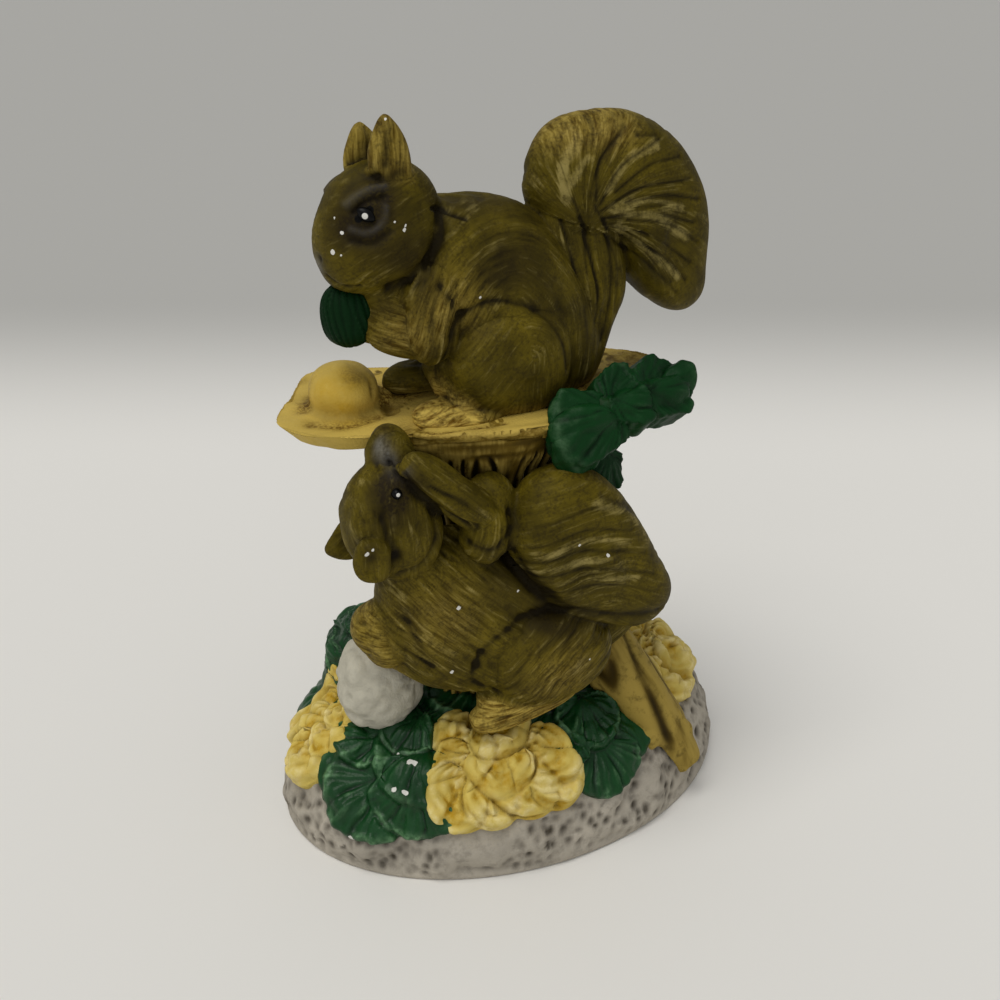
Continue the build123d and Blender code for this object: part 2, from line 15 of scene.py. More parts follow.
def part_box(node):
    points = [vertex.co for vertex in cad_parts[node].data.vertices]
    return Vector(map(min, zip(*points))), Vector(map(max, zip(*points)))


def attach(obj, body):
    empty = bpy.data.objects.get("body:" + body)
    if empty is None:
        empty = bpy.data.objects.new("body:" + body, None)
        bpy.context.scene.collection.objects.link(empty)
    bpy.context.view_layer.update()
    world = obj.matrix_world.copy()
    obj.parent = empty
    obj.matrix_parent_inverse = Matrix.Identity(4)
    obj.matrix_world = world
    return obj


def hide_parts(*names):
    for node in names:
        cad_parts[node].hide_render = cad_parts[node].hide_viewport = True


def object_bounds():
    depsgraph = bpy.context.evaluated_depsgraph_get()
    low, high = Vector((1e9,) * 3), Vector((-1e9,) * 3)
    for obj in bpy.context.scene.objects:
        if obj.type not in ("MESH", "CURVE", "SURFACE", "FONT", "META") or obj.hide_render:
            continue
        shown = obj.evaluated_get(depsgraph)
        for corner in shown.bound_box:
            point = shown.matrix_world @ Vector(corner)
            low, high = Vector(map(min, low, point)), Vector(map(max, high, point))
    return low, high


bl_info = {
    "name": "Squirrel figurine",
    "version": (1, 0, 0),
    "blender": (4, 5, 0),
    "location": "3D View > Sidebar > Figurine",
    "description": "Models and paints a bisque porcelain group of two squirrels on a stump",
    "category": "Add Mesh",
}

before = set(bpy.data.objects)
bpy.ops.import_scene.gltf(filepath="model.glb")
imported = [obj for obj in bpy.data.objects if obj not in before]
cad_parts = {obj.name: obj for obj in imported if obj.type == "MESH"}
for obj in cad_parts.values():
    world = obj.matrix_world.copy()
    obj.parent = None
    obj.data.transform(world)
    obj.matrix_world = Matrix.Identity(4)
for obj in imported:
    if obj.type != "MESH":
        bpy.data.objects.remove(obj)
CAD_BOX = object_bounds()
MM = 0.001
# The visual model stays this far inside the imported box, in millimetres
BOX_MARGIN = 0.03
# Both squirrels' middle plane is at this y, and the painted highlight dots on the eyes have this radius, in
# millimetres
FIGURINE_MIDDLE = -2.0
EYE_HIGHLIGHT_RADIUS = 0.5
# The upper squirrel's eye: its x, how far it lies from the middle plane, and its z. Then the slab's height
UPPER_EYE = (-29.0, 7.35, 127.5)
SLAB_TOP = 90.4
# The trunk's axis, and the radii at which the bark runs true to size on the trunk and on the roots
TRUNK_X, TRUNK_Y = -5.0, 0.5
TRUNK_ROUND, ROOT_ROUND = 15.0, 22.0
# The radius at which fur that spreads from a place runs true to size
FAN_ROUND = 14.0

UPPER_NODES = ("upper_torso", "upper_head", "upper_near_ear", "upper_far_ear", "upper_near_haunch",
               "upper_far_haunch", "upper_near_arm", "upper_far_arm", "upper_near_forearm",
               "upper_far_forearm", "upper_near_foot", "upper_far_foot", "upper_tail_stem",
               "upper_tail_plume")
LOWER_NODES = ("lower_torso", "lower_head", "lower_near_ear", "lower_far_ear", "lower_near_forearm",
               "lower_far_forearm", "lower_haunch", "lower_tail", "lower_shoulder", "lower_tail_root",
               "lower_forepaw", "lower_foot")
STUMP_NODES = ("stump_trunk", "stump_root_front", "stump_root_right", "stump_root_back")

# How the fur runs on each casting, in its side plane: along a line, or spreading from a single place. Then
# the strands' length, spacing and depth in millimetres, and the share that shows
UPPER_FUR = {
    "upper_head": (((-37, 114), (-31, 120), (-22, 125), (-14, 127)), 4, 1.1, 0.14, 0.6),
    "upper_torso": (((-20, 104), (-12, 118), (0, 120), (10, 108), (10, 92)), 7, 1.2, 0.28, 0.7),
    "upper_near_haunch": (((-12, 100), (-4, 108), (4, 104), (5, 92)), 7, 1.3, 0.2, 0.5),
    "upper_far_haunch": (((-12, 100), (-4, 108), (4, 104), (5, 92)), 7, 1.3, 0.2, 0.5),
    "upper_near_arm": (((-13, 119), (-18, 110), (-20, 100)), 6, 1, 0.3, 0.95),
    "upper_far_arm": (((-13, 119), (-18, 110), (-20, 100)), 6, 1, 0.3, 0.95),
    "upper_near_forearm": (((-12, 102), (-20, 105), (-28, 108)), 5, 0.95, 0.22, 0.8),
    "upper_far_forearm": (((-12, 102), (-20, 105), (-28, 108)), 5, 0.95, 0.22, 0.8),
    "upper_near_foot": (((-24, 91), (-14, 94), (-6, 92)), 7, 1.3, 0.06, 0.5),
    "upper_far_foot": (((-24, 92), (-6, 92)), 7, 1.1, 0.1, 0.8),
    "upper_near_ear": (((-24, 130), (-24, 143)), 5, 1.1, 0.08, 0.6),
    "upper_far_ear": (((-26, 128), (-25, 140)), 5, 1.1, 0.08, 0.6),
    "upper_tail_stem": (((12, 86), (15.5, 96), (17, 106), (15.5, 116), (13.6, 124), (12.5, 131)), 16, 1.7,
        0.42, 0.95),
    "upper_tail_plume": (((11.5, 121),), 14, 1.7, 0.3, 0.75),
}
LOWER_FUR = {
    "lower_torso": (((-26, 76), (-14, 62), (4, 46), (14, 40)), 5, 1, 0.3, 0.85),
    "lower_head": (((-30, 92), (-33, 82), (-32, 68)), 5, 1.2, 0.2, 0.7),
    "lower_near_ear": (((-36, 66), (-36, 78)), 5, 1.2, 0.08, 0.4),
    "lower_far_ear": (((-40, 66), (-30, 74)), 5, 1.2, 0.08, 0.4),
    "lower_near_forearm": (((-29, 90), (-12, 73)), 6, 1.1, 0.22, 0.8),
    "lower_far_forearm": (((-29, 90), (-12, 73)), 6, 1.1, 0.22, 0.8),
    "lower_shoulder": (((-24, 84), (-18, 78), (-20, 70)), 6, 1.1, 0.22, 0.8),
    "lower_haunch": (((26, 58), (10, 54), (-4, 46), (-12, 34)), 6, 1.15, 0.28, 0.8),
    "lower_tail": (((-12, 60), (0, 66), (12, 66), (22, 60)), 12, 1.5, 0.2, 0.6),
    "lower_tail_root": (((24, 51), (4, 38)), 7, 1.2, 0.25, 0.7),
    "lower_forepaw": (((-36, 50), (-28, 50), (-20, 44)), 5, 1, 0.28, 0.9),
    "lower_foot": (((5, 35), (-18, 31)), 6, 1.3, 0.25, 0.9),
}


def linear(code):
    """An sRGB hex colour as the linear colour that a shader works in."""
    channels = [int(code[i:i + 2], 16) / 255 for i in (1, 3, 5)]
    return [c / 12.92 if c <= 0.04045 else ((c + 0.055) / 1.055) ** 2.4 for c in channels]


def colour(code, text):
    """A colour that the user may change."""
    name, description = text.split(": ")
    return FloatVectorProperty(name=name, description=description, subtype="COLOR", size=3, min=0.0,
                               max=1.0, default=linear(code))


def length(millimetres, text):
    """A length that the user may change."""
    name, description = text.split(": ")
    return FloatProperty(name=name, description=description, default=millimetres * MM, min=0.0,
                         precision=5, subtype="DISTANCE", unit="LENGTH")


class FigurineSizes(bpy.types.PropertyGroup):
    squirrel_grain: length(0.36, "Squirrel grain: Spacing of the points that the squirrels are modelled with")
    stump_grain: length(0.4, "Stump grain: Spacing of the points that the stump is modelled with")
    rock_grain: length(0.55, "Rock grain: Spacing of the points that the base is modelled with")
    small_grain: length(0.3, "Small grain: Spacing of the points of the nut, stone, top and leaves")
    luting: length(0.14, "Luting: How far each casting swells into its neighbours before they are joined")
    leaf_thick: length(1.5, "Leaf thickness: Height of a leaf's blade over the ground")
    vein_rise: length(0.5, "Vein rise: How far a leaf swells between its veins")
    pit_depth: length(0.6, "Pit depth: Depth of the pits in the rock")
    bark_depth: length(0.75, "Bark depth: Depth of the furrows in the bark")


class FigurineColours(bpy.types.PropertyGroup):
    fur: colour("#564a0c", "Fur: Olive stain of the coats")
    # Painted highlight: khaki dry brushed on the raised strands
    fur_light: colour("#aa9a5c", "Fur light: Khaki brushed over the strands")
    # Painted shade: the dark brown laid in the creases and hollows of the fur and the bark
    fur_crease_shade: colour("#110b01", "Fur dark: Wash that lies in the creases")
    # Also laid as painted shade on the side of the upper squirrel's face
    dusk: colour("#231b09", "Dusk: Grey brown sprayed on the backs and round the eyes")
    bark: colour("#5f4b12", "Bark: Brown stain of the trunk")
    # Painted highlight: straw colour dry brushed on the bark's ridges
    bark_light: colour("#a89044", "Bark light: Straw colour on the bark's ridges")
    wood: colour("#d0b356", "Wood: Pale yellow of the broken top")
    wood_stain: colour("#66480c", "Wood stain: Brown rubbed into the broken top")
    leaf: colour("#0c3d17", "Leaf: Deep green of the ivy")
    # Painted highlight on the leaves' rims and raised parts
    leaf_light: colour("#6b9468", "Leaf light: Worn green on the leaves' rims")
    yellow: colour("#cfb85c", "Yellow: Pale yellow of the fallen leaves")
    # Painted highlight on the fallen leaves' raised parts
    yellow_light: colour("#e2d08c", "Light yellow: Cream on the raised parts of the leaves")
    # Also laid in the fallen leaves' veins, middles and dips, partly as painted shade
    yellow_deep: colour("#b7911c", "Deep yellow: Ochre in the middle of the leaves")
    rock: colour("#b3ab9c", "Rock: Pale grey of the base")
    # Painted shade in the rock's pits and hollows
    rock_pit_shade: colour("#4c463c", "Rock dark: Grey sprayed into the pits")
    stone: colour("#bfbaa8", "Stone: Near white of the loose stone")
    glaze: colour("#030303", "Glaze: Black of the eyes")
    # Also the painted highlight dot on each eye
    bare: colour("#dcdad2", "Bare: White clay where the paint has chipped")
    floor: colour("#ebe9e4", "Floor: Pale board that the figurine stands on")
    wall: colour("#b6b5b1", "Wall: Greyer far end of the board")


def settings():
    """The sizes and the colours that the panel shows."""
    scene = bpy.context.scene
    return scene.figurine_sizes, scene.figurine_colours


# ---- noise, strands and lines ----

SPOT_PRIMES = np.array((374761393, 668265263, 1274126177))
SEED_PRIME = 974711


def grain(places, seed):
    """Smooth noise from -1 to 1 at each place, one swing to a unit."""
    cell = np.floor(places)
    part = places - cell
    part = part * part * (3 - 2 * part)
    cell = cell.astype(np.int64)
    total = np.zeros(len(places))
    for corner in np.ndindex(2, 2, 2):
        spot = cell + corner
        code = spot @ SPOT_PRIMES + seed * SEED_PRIME
        code = (code ^ (code >> 13)) * 1103515245 & 0x7FFFFFFF
        code = (code ^ (code >> 15)) * 668265263 & 0x7FFFFFFF
        share = np.prod(np.where(corner, part, 1 - part), axis=1)
        total += share * ((code >> 8) & 0xFFFF) / 0xFFFF
    return total * 2 - 1


def cells(places, seed):
    """How far each place is from the nearest of the points strewn one to a unit cell, and its code."""
    cell = np.floor(places).astype(np.int64)
    best = np.full(len(places), 9.0)
    best_code = np.zeros(len(places))
    for corner in np.ndindex(3, 3, 3):
        spot = cell + np.array(corner) - 1
        code = spot @ SPOT_PRIMES + seed * SEED_PRIME
        shifts = []
        for _ in range(4):
            code = (code ^ (code >> 13)) * 1103515245 + 12345 & 0x7FFFFFFF
            shifts.append(((code >> 8) & 0xFFFF) / 0xFFFF)
        away = places - spot - np.stack(shifts[:3], axis=1)
        away = np.sqrt((away ** 2).sum(axis=1))
        nearer = away < best
        best[nearer] = away[nearer]
        best_code[nearer] = shifts[3][nearer]
    return best, best_code


def eased(value, low, high):
    """0 below low, 1 above high, and smooth between."""
    share = np.clip((value - low) / (high - low), 0, 1)
    return share * share * (3 - 2 * share)


def strands(flow, long, wide, amount, seed):
    """Relief from -1 to 1 of strands that run along a flow, and the furrows between them from 0 to 1."""
    along, across, deep = flow.T
    spot = np.stack([along / long, across / (wide * 2.6), deep / 6.0], axis=1)
    sway = grain(spot, seed) * 0.8 + 0.35 * grain(spot * 2.1, seed + 1)
    broken = eased(grain(spot * (1.3, 2.4, 2.0), seed + 2), 0.55 - 1.5 * amount, 0.85 - amount)
    furrow = (0.5 + 0.5 * np.cos(2 * np.pi * (across / wide + sway))) ** 3 * broken
    hair = np.cos(2 * np.pi * (across / (wide * 0.42) + 2.3 * sway))
    fine = eased(grain(spot * (2.2, 3.0, 3.0), seed + 3), -0.1, 0.6)
    return 0.35 * hair * fine + 0.4 * broken - furrow, furrow


def tufts(flow, long, wide, amount, seed):
    """Relief from -1 to 1 of brushed tufts that run along a flow and taper off, and their furrows."""
    along, across, deep = flow.T
    spot = np.stack([along / long, across / (wide * 0.75), deep / (wide * 3.0)], axis=1)
    spot[:, 1] += 0.8 * grain(spot * (0.7, 0.22, 0.5), seed)
    ridge = grain(spot, seed + 1)
    fine = grain(spot * (1.7, 2.4, 2.0), seed + 2)
    where = eased(grain(spot * (0.45, 0.25, 0.5), seed + 3), 0.5 - 1.3 * amount, 1.2 - 1.3 * amount)
    furrow = eased(-ridge - 0.3 * fine, 0.12, 0.7) * where
    return (0.45 * ridge + 0.3 * fine) * (0.3 + 0.7 * where) - 0.55 * furrow, furrow


def rounded(line, steps=8):
    """A line through the same places, rounded between them."""
    line = np.array(line, float)
    ends = np.vstack([2 * line[0] - line[1], line, 2 * line[-1] - line[-2]])
    made = []
    for a, b, c, d in zip(ends, ends[1:], ends[2:], ends[3:]):
        for step in range(steps):
            t = step / steps
            made.append(0.5 * (2 * b + (c - a) * t + (2 * a - 5 * b + 4 * c - d) * t ** 2
                               + (3 * b - a - 3 * c + d) * t ** 3))
    made.append(line[-1])
    return np.array(made)


def along_line(x, z, line):
    """How far each place is along a line in the side plane, and how far across it."""
    line = rounded(line, 4)
    best = np.full(len(x), 1e9)
    along = np.zeros(len(x))
    across = np.zeros(len(x))
    run = 0.0
    last = len(line) - 2
    for i, (start, end) in enumerate(zip(line, line[1:])):
        step = end - start
        size = math.hypot(*step)
        t = ((x - start[0]) * step[0] + (z - start[1]) * step[1]) / size ** 2
        t = np.clip(t, -9.0 if i == 0 else 0.0, 9.0 if i == last else 1.0)
        off_x = x - start[0] - t * step[0]
        off_z = z - start[1] - t * step[1]
        away = np.hypot(off_x, off_z)
        nearer = away < best
        best[nearer] = away[nearer]
        along[nearer] = run + t[nearer] * size
        across[nearer] = (np.sign(off_x * step[1] - off_z * step[0]) * away)[nearer]
        run += size
    return along, across


# ---- clay: a piece's points under the modelling tool ----

class Clay:
    """A piece's points in millimetres, with the brushes that move and mark them."""

    def __init__(self, piece):
        self.piece = piece
        self.marks = {}
        self.flow = None
        mesh = piece.data
        count = len(mesh.vertices)
        places = np.empty(count * 3)
        mesh.vertices.foreach_get("co", places)
        self.at = places.reshape(-1, 3) / MM
        edges = np.empty(len(mesh.edges) * 2, np.int64)
        mesh.edges.foreach_get("vertices", edges)
        self.edges = edges.reshape(-1, 2)
        self.links = np.maximum(np.bincount(edges, minlength=count), 1)
        self.face_out()

    def face_out(self):
        """Finds which way each point faces."""
        mesh = self.piece.data
        normals = np.empty(len(mesh.vertices) * 3)
        mesh.vertex_normals.foreach_get("vector", normals)
        self.out = normals.reshape(-1, 3)

    def settle(self):
        """Writes the moved points back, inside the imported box, and finds which way they face now."""
        low, high = (np.array(corner) / MM for corner in CAD_BOX)
        self.at = np.clip(self.at, low + BOX_MARGIN, high - BOX_MARGIN)
        mesh = self.piece.data
        mesh.vertices.foreach_set("co", (self.at * MM).ravel())
        mesh.update()
        self.face_out()

    def push(self, amount):
        """Moves each point outwards by its amount."""
        self.at += self.out * np.asarray(amount)[:, None]

    def spread(self, values, times):
        """Values averaged with their neighbours' this many times."""
        a, b = self.edges.T
        count = len(self.links)
        for _ in range(times):
            near = np.bincount(a, values[b], count) + np.bincount(b, values[a], count)
            values = 0.5 * values + 0.5 * near / self.links
        return values

    def hollow(self, times):
        """How far each point lies below its neighbourhood, in millimetres."""
        mean = np.stack([self.spread(self.at[:, i], times) for i in range(3)], axis=1)
        return ((mean - self.at) * self.out).sum(axis=1)

    def near(self, line, wide):
        """1 on a line, fading to 0 about twice this far from it. A line of (x, z) lies in the side plane, and
        reaches the piece's sides alone."""
        line = np.array(line, float)
        at, share = self.at, 1.0
        if line.shape[1] == 2:
            at = self.at[:, (0, 2)]
            share = eased(np.abs(self.out[:, 1]), 0.1, 0.4)
        if len(line) == 1:
            return share * np.exp(-((at - line[0]) ** 2).sum(axis=1) / wide ** 2)
        if len(line) > 2:
            line = rounded(line, 5)
        best = np.full(len(at), 1e9)
        for start, end in zip(line, line[1:]):
            step = end - start
            t = np.clip((at - start) @ step / (step @ step), 0, 1)
            off = at - start - t[:, None] * step
            best = np.minimum(best, (off ** 2).sum(axis=1))
        return share * np.exp(-best / wide ** 2)

    def mark(self, name, values):
        """Adds to a mark that the paint reads."""
        held = self.marks.get(name, np.zeros(len(self.at)))
        self.marks[name] = np.clip(held + values, -1, 1.2)

    def finish(self):
        """Writes the points, the marks and the flow."""
        self.settle()
        mesh = self.piece.data
        for name, values in self.marks.items():
            layer = mesh.attributes.new(name, "FLOAT", "POINT")
            layer.data.foreach_set("value", values.astype(np.float32))
        if self.flow is not None:
            layer = mesh.attributes.new("flow", "FLOAT_VECTOR", "POINT")
            layer.data.foreach_set("vector", self.flow.astype(np.float32).ravel())


def lone(piece):
    """Makes one object the only one selected, and active."""
    bpy.ops.object.select_all(action="DESELECT")
    piece.select_set(True)
    bpy.context.view_layer.objects.active = piece


def apply(piece, kind, **values):
    """Gives a piece one modifier and applies it."""
    lone(piece)
    modifier = piece.modifiers.new(kind.title(), kind)
    for name, value in values.items():
        setattr(modifier, name, value)
    bpy.ops.object.modifier_apply(modifier=modifier.name)


def join(name, parts):
    """Joins parts into the first of them."""
    bpy.ops.object.select_all(action="DESELECT")
    for part in parts:
        part.select_set(True)
    bpy.context.view_layer.objects.active = parts[0]
    if len(parts) > 1:
        bpy.ops.object.join()
    piece = parts[0]
    piece.name = piece.data.name = name
    piece.data.materials.clear()
    return piece


def fuse(piece, spacing, smoothing):
    """Makes one skin of a piece's overlapping parts, and smooths it."""
    apply(piece, "REMESH", mode="VOXEL", voxel_size=spacing)
    apply(piece, "SMOOTH", factor=0.5, iterations=smoothing)
    bpy.ops.object.shade_smooth()


def pat(place, sizes, turn=0.0):
    """A pat of clay to fill a gap: a ball of these three sizes, turned in the side plane."""
    bpy.ops.object.select_all(action="DESELECT")
    bpy.ops.mesh.primitive_uv_sphere_add(segments=32, ring_count=16, radius=MM)
    ball = bpy.context.object
    bpy.ops.object.mode_set(mode="EDIT")
    bpy.ops.mesh.select_all(action="SELECT")
    bpy.ops.transform.resize(value=sizes)
    bpy.ops.object.mode_set(mode="OBJECT")
    for vertex in ball.data.vertices:
        x, y, z = vertex.co
        vertex.co = (x * math.cos(turn) - z * math.sin(turn) + place[0] * MM, y + place[1] * MM,
                     x * math.sin(turn) + z * math.cos(turn) + place[2] * MM)
    return ball


def cast(name, nodes, spacing, smoothing, pats=()):
    """Clay cast in one from copies of the frame's castings and pats, luted together."""
    sizes, _ = settings()
    parts = []
    for node in nodes:
        copy = bpy.data.objects.new(node + "_copy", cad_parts[node].data.copy())
        bpy.context.scene.collection.objects.link(copy)
        lone(copy)
        bpy.ops.object.mode_set(mode="EDIT")
        bpy.ops.mesh.select_all(action="SELECT")
        bpy.ops.mesh.remove_doubles(threshold=0.000001)
        bpy.ops.object.mode_set(mode="OBJECT")
        apply(copy, "DISPLACE", strength=sizes.luting, mid_level=0.0)
        parts.append(copy)
    parts += [pat(*values) for values in pats]
    piece = join(name, parts)
    fuse(piece, spacing, smoothing)
    return Clay(piece)


def settle_piece(piece, material, nodes=()):
    """Paints a piece with its finish, hangs it under the root, and hides the castings that it stands for."""
    piece.data.materials.clear()
    piece.data.materials.append(material)
    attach(piece, "root")
    if nodes:
        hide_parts(*nodes)


def hand_over(clay, blur, strength, material, nodes):
    """Marks the hollows for painted shade, writes the clay back, and settles the piece."""
    clay.mark("hollow", np.clip(clay.hollow(blur) * strength, 0, 1))
    clay.finish()
    settle_piece(clay.piece, material, nodes)


def shares_of(clay, nodes):
    """How much of each casting there is at each point, from how near its surface is, in millimetres."""
    depsgraph = bpy.context.evaluated_depsgraph_get()
    away = np.full((len(nodes), len(clay.at)), 99.0)
    for row, node in zip(away, nodes):
        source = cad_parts[node]
        tree = BVHTree.FromObject(source, depsgraph)
        low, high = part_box(node)
        inside = ((clay.at > np.array(low) / MM - 3) & (clay.at < np.array(high) / MM + 3)).all(axis=1)
        for i in np.flatnonzero(inside):
            found = tree.find_nearest(Vector(clay.at[i] * MM))
            if found[3] is not None:
                row[i] = found[3] / MM
    nearest = away.min(axis=0)
    shares = np.clip(1 - (away - nearest), 0, 1)
    return dict(zip(nodes, shares / shares.sum(axis=0)))


def comb(clay, shares, fur, seed):
    """Models the fur of each casting, and marks its strands for light paint as painted highlight and the
    furrows between them for painted shade.
    """
    x, y, z = clay.at.T
    rise, strand, cut = np.zeros((3, len(x)))
    clay.flow = np.zeros((len(x), 3))
    most = np.zeros(len(x))
    for number, (node, (line, long, wide, deep, amount)) in enumerate(fur.items()):
        share = shares[node]
        here = np.flatnonzero(share > 0.01)
        if len(line) > 1:
            along, across = along_line(x[here], z[here], line)
        else:
            off_x, off_z = x[here] - line[0][0], z[here] - line[0][1]
            along = np.hypot(off_x, off_z)
            across = np.arctan2(off_z, off_x) * FAN_ROUND + along * 0.3
        flow = np.stack([along, across, y[here]], axis=1)
        relief, furrow = tufts(flow, long, wide, amount, seed + 10 * number)
        rise[here] += share[here] * deep * relief
        strand[here] += share[here] * relief * min(1.0, 0.4 + deep * 2)
        cut[here] += share[here] * furrow * min(0.45, deep)
        main = here[share[here] >= most[here]]
        clay.flow[main] = flow[share[here] >= most[here]]
        most[here] = np.maximum(most[here], share[here])
    clay.push(rise)
    clay.mark("strand", strand)
    clay.mark("cut", cut)
    clay.settle()


def carve(clay, table):
    """Raises or cuts lines and places: (places, width, rise, mark, strength). Cuts come and go a little."""
    uneven = 0.62 + 0.38 * grain(clay.at / 2.3, 401)
    for places, wide, rise, name, strength in table:
        touch = clay.near(places, wide)
        if rise:
            clay.push(touch * rise)
        # Cut lines are marked for painted shade, and come and go a little
        if name == "cut":
            clay.mark(name, touch * uneven * strength * 0.95)
        elif name:
            clay.mark(name, touch * strength)
    clay.settle()


# ---- paints ----

def per_mm(millimetres):
    """The scale of a pattern whose swings are this wide."""
    return 1 / (millimetres * MM)


def shade(paint, share):
    """A colour made darker or lighter by this share."""
    return [min(1.0, channel * share) for channel in paint]


def add(tree, kind, values=(), **options):
    """Adds a node with its options, and its inputs' values or links, given by name or in order."""
    made = tree.nodes.new("ShaderNode" + kind)
    for name, value in options.items():
        setattr(made, name, value)
    for key, value in values.items() if isinstance(values, dict) else enumerate(values):
        if isinstance(value, bpy.types.Node):
            value = next(socket for socket in value.outputs if socket.enabled)
        if isinstance(value, bpy.types.NodeSocket):
            tree.links.new(value, made.inputs[key])
        elif made.inputs[key].type == "RGBA":
            made.inputs[key].default_value = (*value, 1.0)
        else:
            made.inputs[key].default_value = value
    return made


def new_paint(name, roughness, specular, marks="", noises=()):
    """A material with its matte shader, its nodes, the places on the piece, and what its coats read: the
    piece's marks, and noises, each given by its width in millimetres, detail and roughness."""
    material = bpy.data.materials.new(name)
    material.use_nodes = True
    tree = material.node_tree
    tree.nodes.clear()
    skin = add(tree, "BsdfPrincipled", {"Roughness": roughness, "Specular IOR Level": specular, "IOR": 1.5})
    add(tree, "OutputMaterial", {"Surface": skin})
    where = add(tree, "TexCoord").outputs["Object"]
    reads = [add(tree, "Attribute", attribute_name=mark).outputs["Fac"] for mark in marks.split()]
    for wide, detail, rough in noises:
        reads.append(add(tree, "TexNoise", {"Vector": where, "Scale": per_mm(wide), "Detail": detail,
                                            "Roughness": rough}))
    return material, tree, where, reads


def dress(material, base, coats, height, millimetres):
    """Lays coats of paint over a base colour, each with its share, and gives the shader its fine relief."""
    tree = material.node_tree
    skin = tree.nodes["Principled BSDF"]
    for share, coat in coats:
        base = add(tree, "Mix", {0: share, 6: base, 7: coat}, data_type="RGBA")
    bump = add(tree, "Bump", {"Height": height, "Distance": millimetres * MM, "Strength": 1.0})
    tree.links.new(bump.outputs[0], skin.inputs["Normal"])
    tree.links.new(next(socket for socket in base.outputs if socket.enabled), skin.inputs["Base Color"])
    return material


def fur_paint():
    """Stained bisque porcelain, slip cast and dry brushed: a matte olive coat with khaki on its strands as
    painted highlight, painted shade in its creases, grey brown sprayed on its backs, and small white chips."""
    _, paint = settings()
    material, tree, _, (strand, cut, hollow, dusk, tan, grey, ink, chip, cloud, blotch, spray) = new_paint(
        "stained_bisque_fur", 0.62, 0.09, "strand cut hollow dusk tan grey ink chip",
        ((7.0, 5.0, 0.5), (2.4, 5.0, 0.6), (0.5, 2.0, 0.5)))
    # Brush hairs leave streaks half a millimetre wide and about 5 mm long
    flow = add(tree, "Attribute", attribute_name="flow").outputs["Vector"]
    streaks = add(tree, "Mapping", {"Vector": flow, "Scale": (1 / 5.0, 1 / 0.55, 1 / 2.5)})
    hairs = add(tree, "TexNoise", {"Vector": streaks, "Scale": 1.0, "Detail": 3.0, "Roughness": 0.6})
    high = add(tree, "Math", (hairs, 1.5, strand), operation="MULTIPLY_ADD")
    high = add(tree, "MapRange", (high, 0.8, 1.4, 0.0, 0.62), interpolation_type="SMOOTHSTEP")
    patchy = add(tree, "MapRange", (blotch, 0.35, 0.65, 0.25))
    browned = add(tree, "MapRange", (hairs, 0.35, 0.6))
    mist = add(tree, "MapRange", (spray, 0.3, 0.7, 0.55))
    rubbed = add(tree, "Math", (blotch, spray), operation="ADD")
    crease_shade = add(tree, "Math", (cut, hollow), operation="ADD")
    torn = add(tree, "Math", (blotch, 1.2, chip), operation="MULTIPLY_ADD")
    coats = (
        (add(tree, "MapRange", (cloud, 0.3, 0.7)), shade(paint.fur, 1.4)),
        # Painted highlight: khaki on the raised strands
        (add(tree, "Math", (high, patchy), operation="MULTIPLY"), paint.fur_light),
        (add(tree, "MapRange", (hairs, 0.5, 0.3, 0.0, 0.5)), shade(paint.fur, 0.4)),
        # Tan on the feet, chest and ears, and a painted highlight on the tail's top
        (tan, add(tree, "Mix", {0: browned, 6: paint.wood_stain, 7: paint.wood}, data_type="RGBA")),
        (add(tree, "Math", (dusk, mist), operation="MULTIPLY", use_clamp=True), paint.dusk),
        # Grey on the noses, and painted highlight on the eyelids' ridges
        (grey, shade(paint.wall, 0.55)),
        # A brown wash, rubbed off the backs, stays in patches and in the creases
        (add(tree, "MapRange", (rubbed, 1.06, 0.66, 0.0, 0.6)), paint.dusk),
        # Painted shade in the cut grooves and the hollows
        (add(tree, "MapRange", (crease_shade, 0.0, 0.9, 0.0, 0.9)), paint.fur_crease_shade),
        (add(tree, "MapRange", (ink, 0.42, 0.58)), paint.glaze),
        (add(tree, "MapRange", (torn, 1.12, 1.2)), paint.bare),
    )
    relief = add(tree, "Math", (hairs, 1.2, blotch), operation="MULTIPLY_ADD")
    return dress(material, shade(paint.fur, 0.5), coats, relief, 0.1)


def rock_paint():
    """Bisque porcelain, cast rough and sprayed: pale grey lilac, darker where the pits are, with painted
    shade in the pits and the hollows.
    """
    _, paint = settings()
    material, tree, _, (pit, hollow, cloud, blotch, fine) = new_paint(
        "sprayed_bisque_rock", 0.8, 0.1, "pit hollow", ((12.0, 4.0, 0.5), (1.9, 4.0, 0.6), (0.6, 3.0, 0.5)))
    spots = add(tree, "MapRange", (blotch, 0.25, 0.6, 0.7))
    coats = (
        (add(tree, "MapRange", (cloud, 0.3, 0.7)), shade(paint.rock, 1.1)),
        (add(tree, "MapRange", (blotch, 0.5, 0.3, 0.0, 0.55)), shade(paint.rock, 0.5)),
        # Painted shade in the pits and the hollows
        (add(tree, "Math", (pit, spots), operation="MULTIPLY", use_clamp=True), paint.rock_pit_shade),
        (add(tree, "Math", (hollow, 0.6), operation="MULTIPLY", use_clamp=True), shade(paint.rock_pit_shade, 0.5)),
    )
    relief = add(tree, "Math", (blotch, fine), operation="ADD")
    return dress(material, shade(paint.rock, 0.8), coats, relief, 0.16)


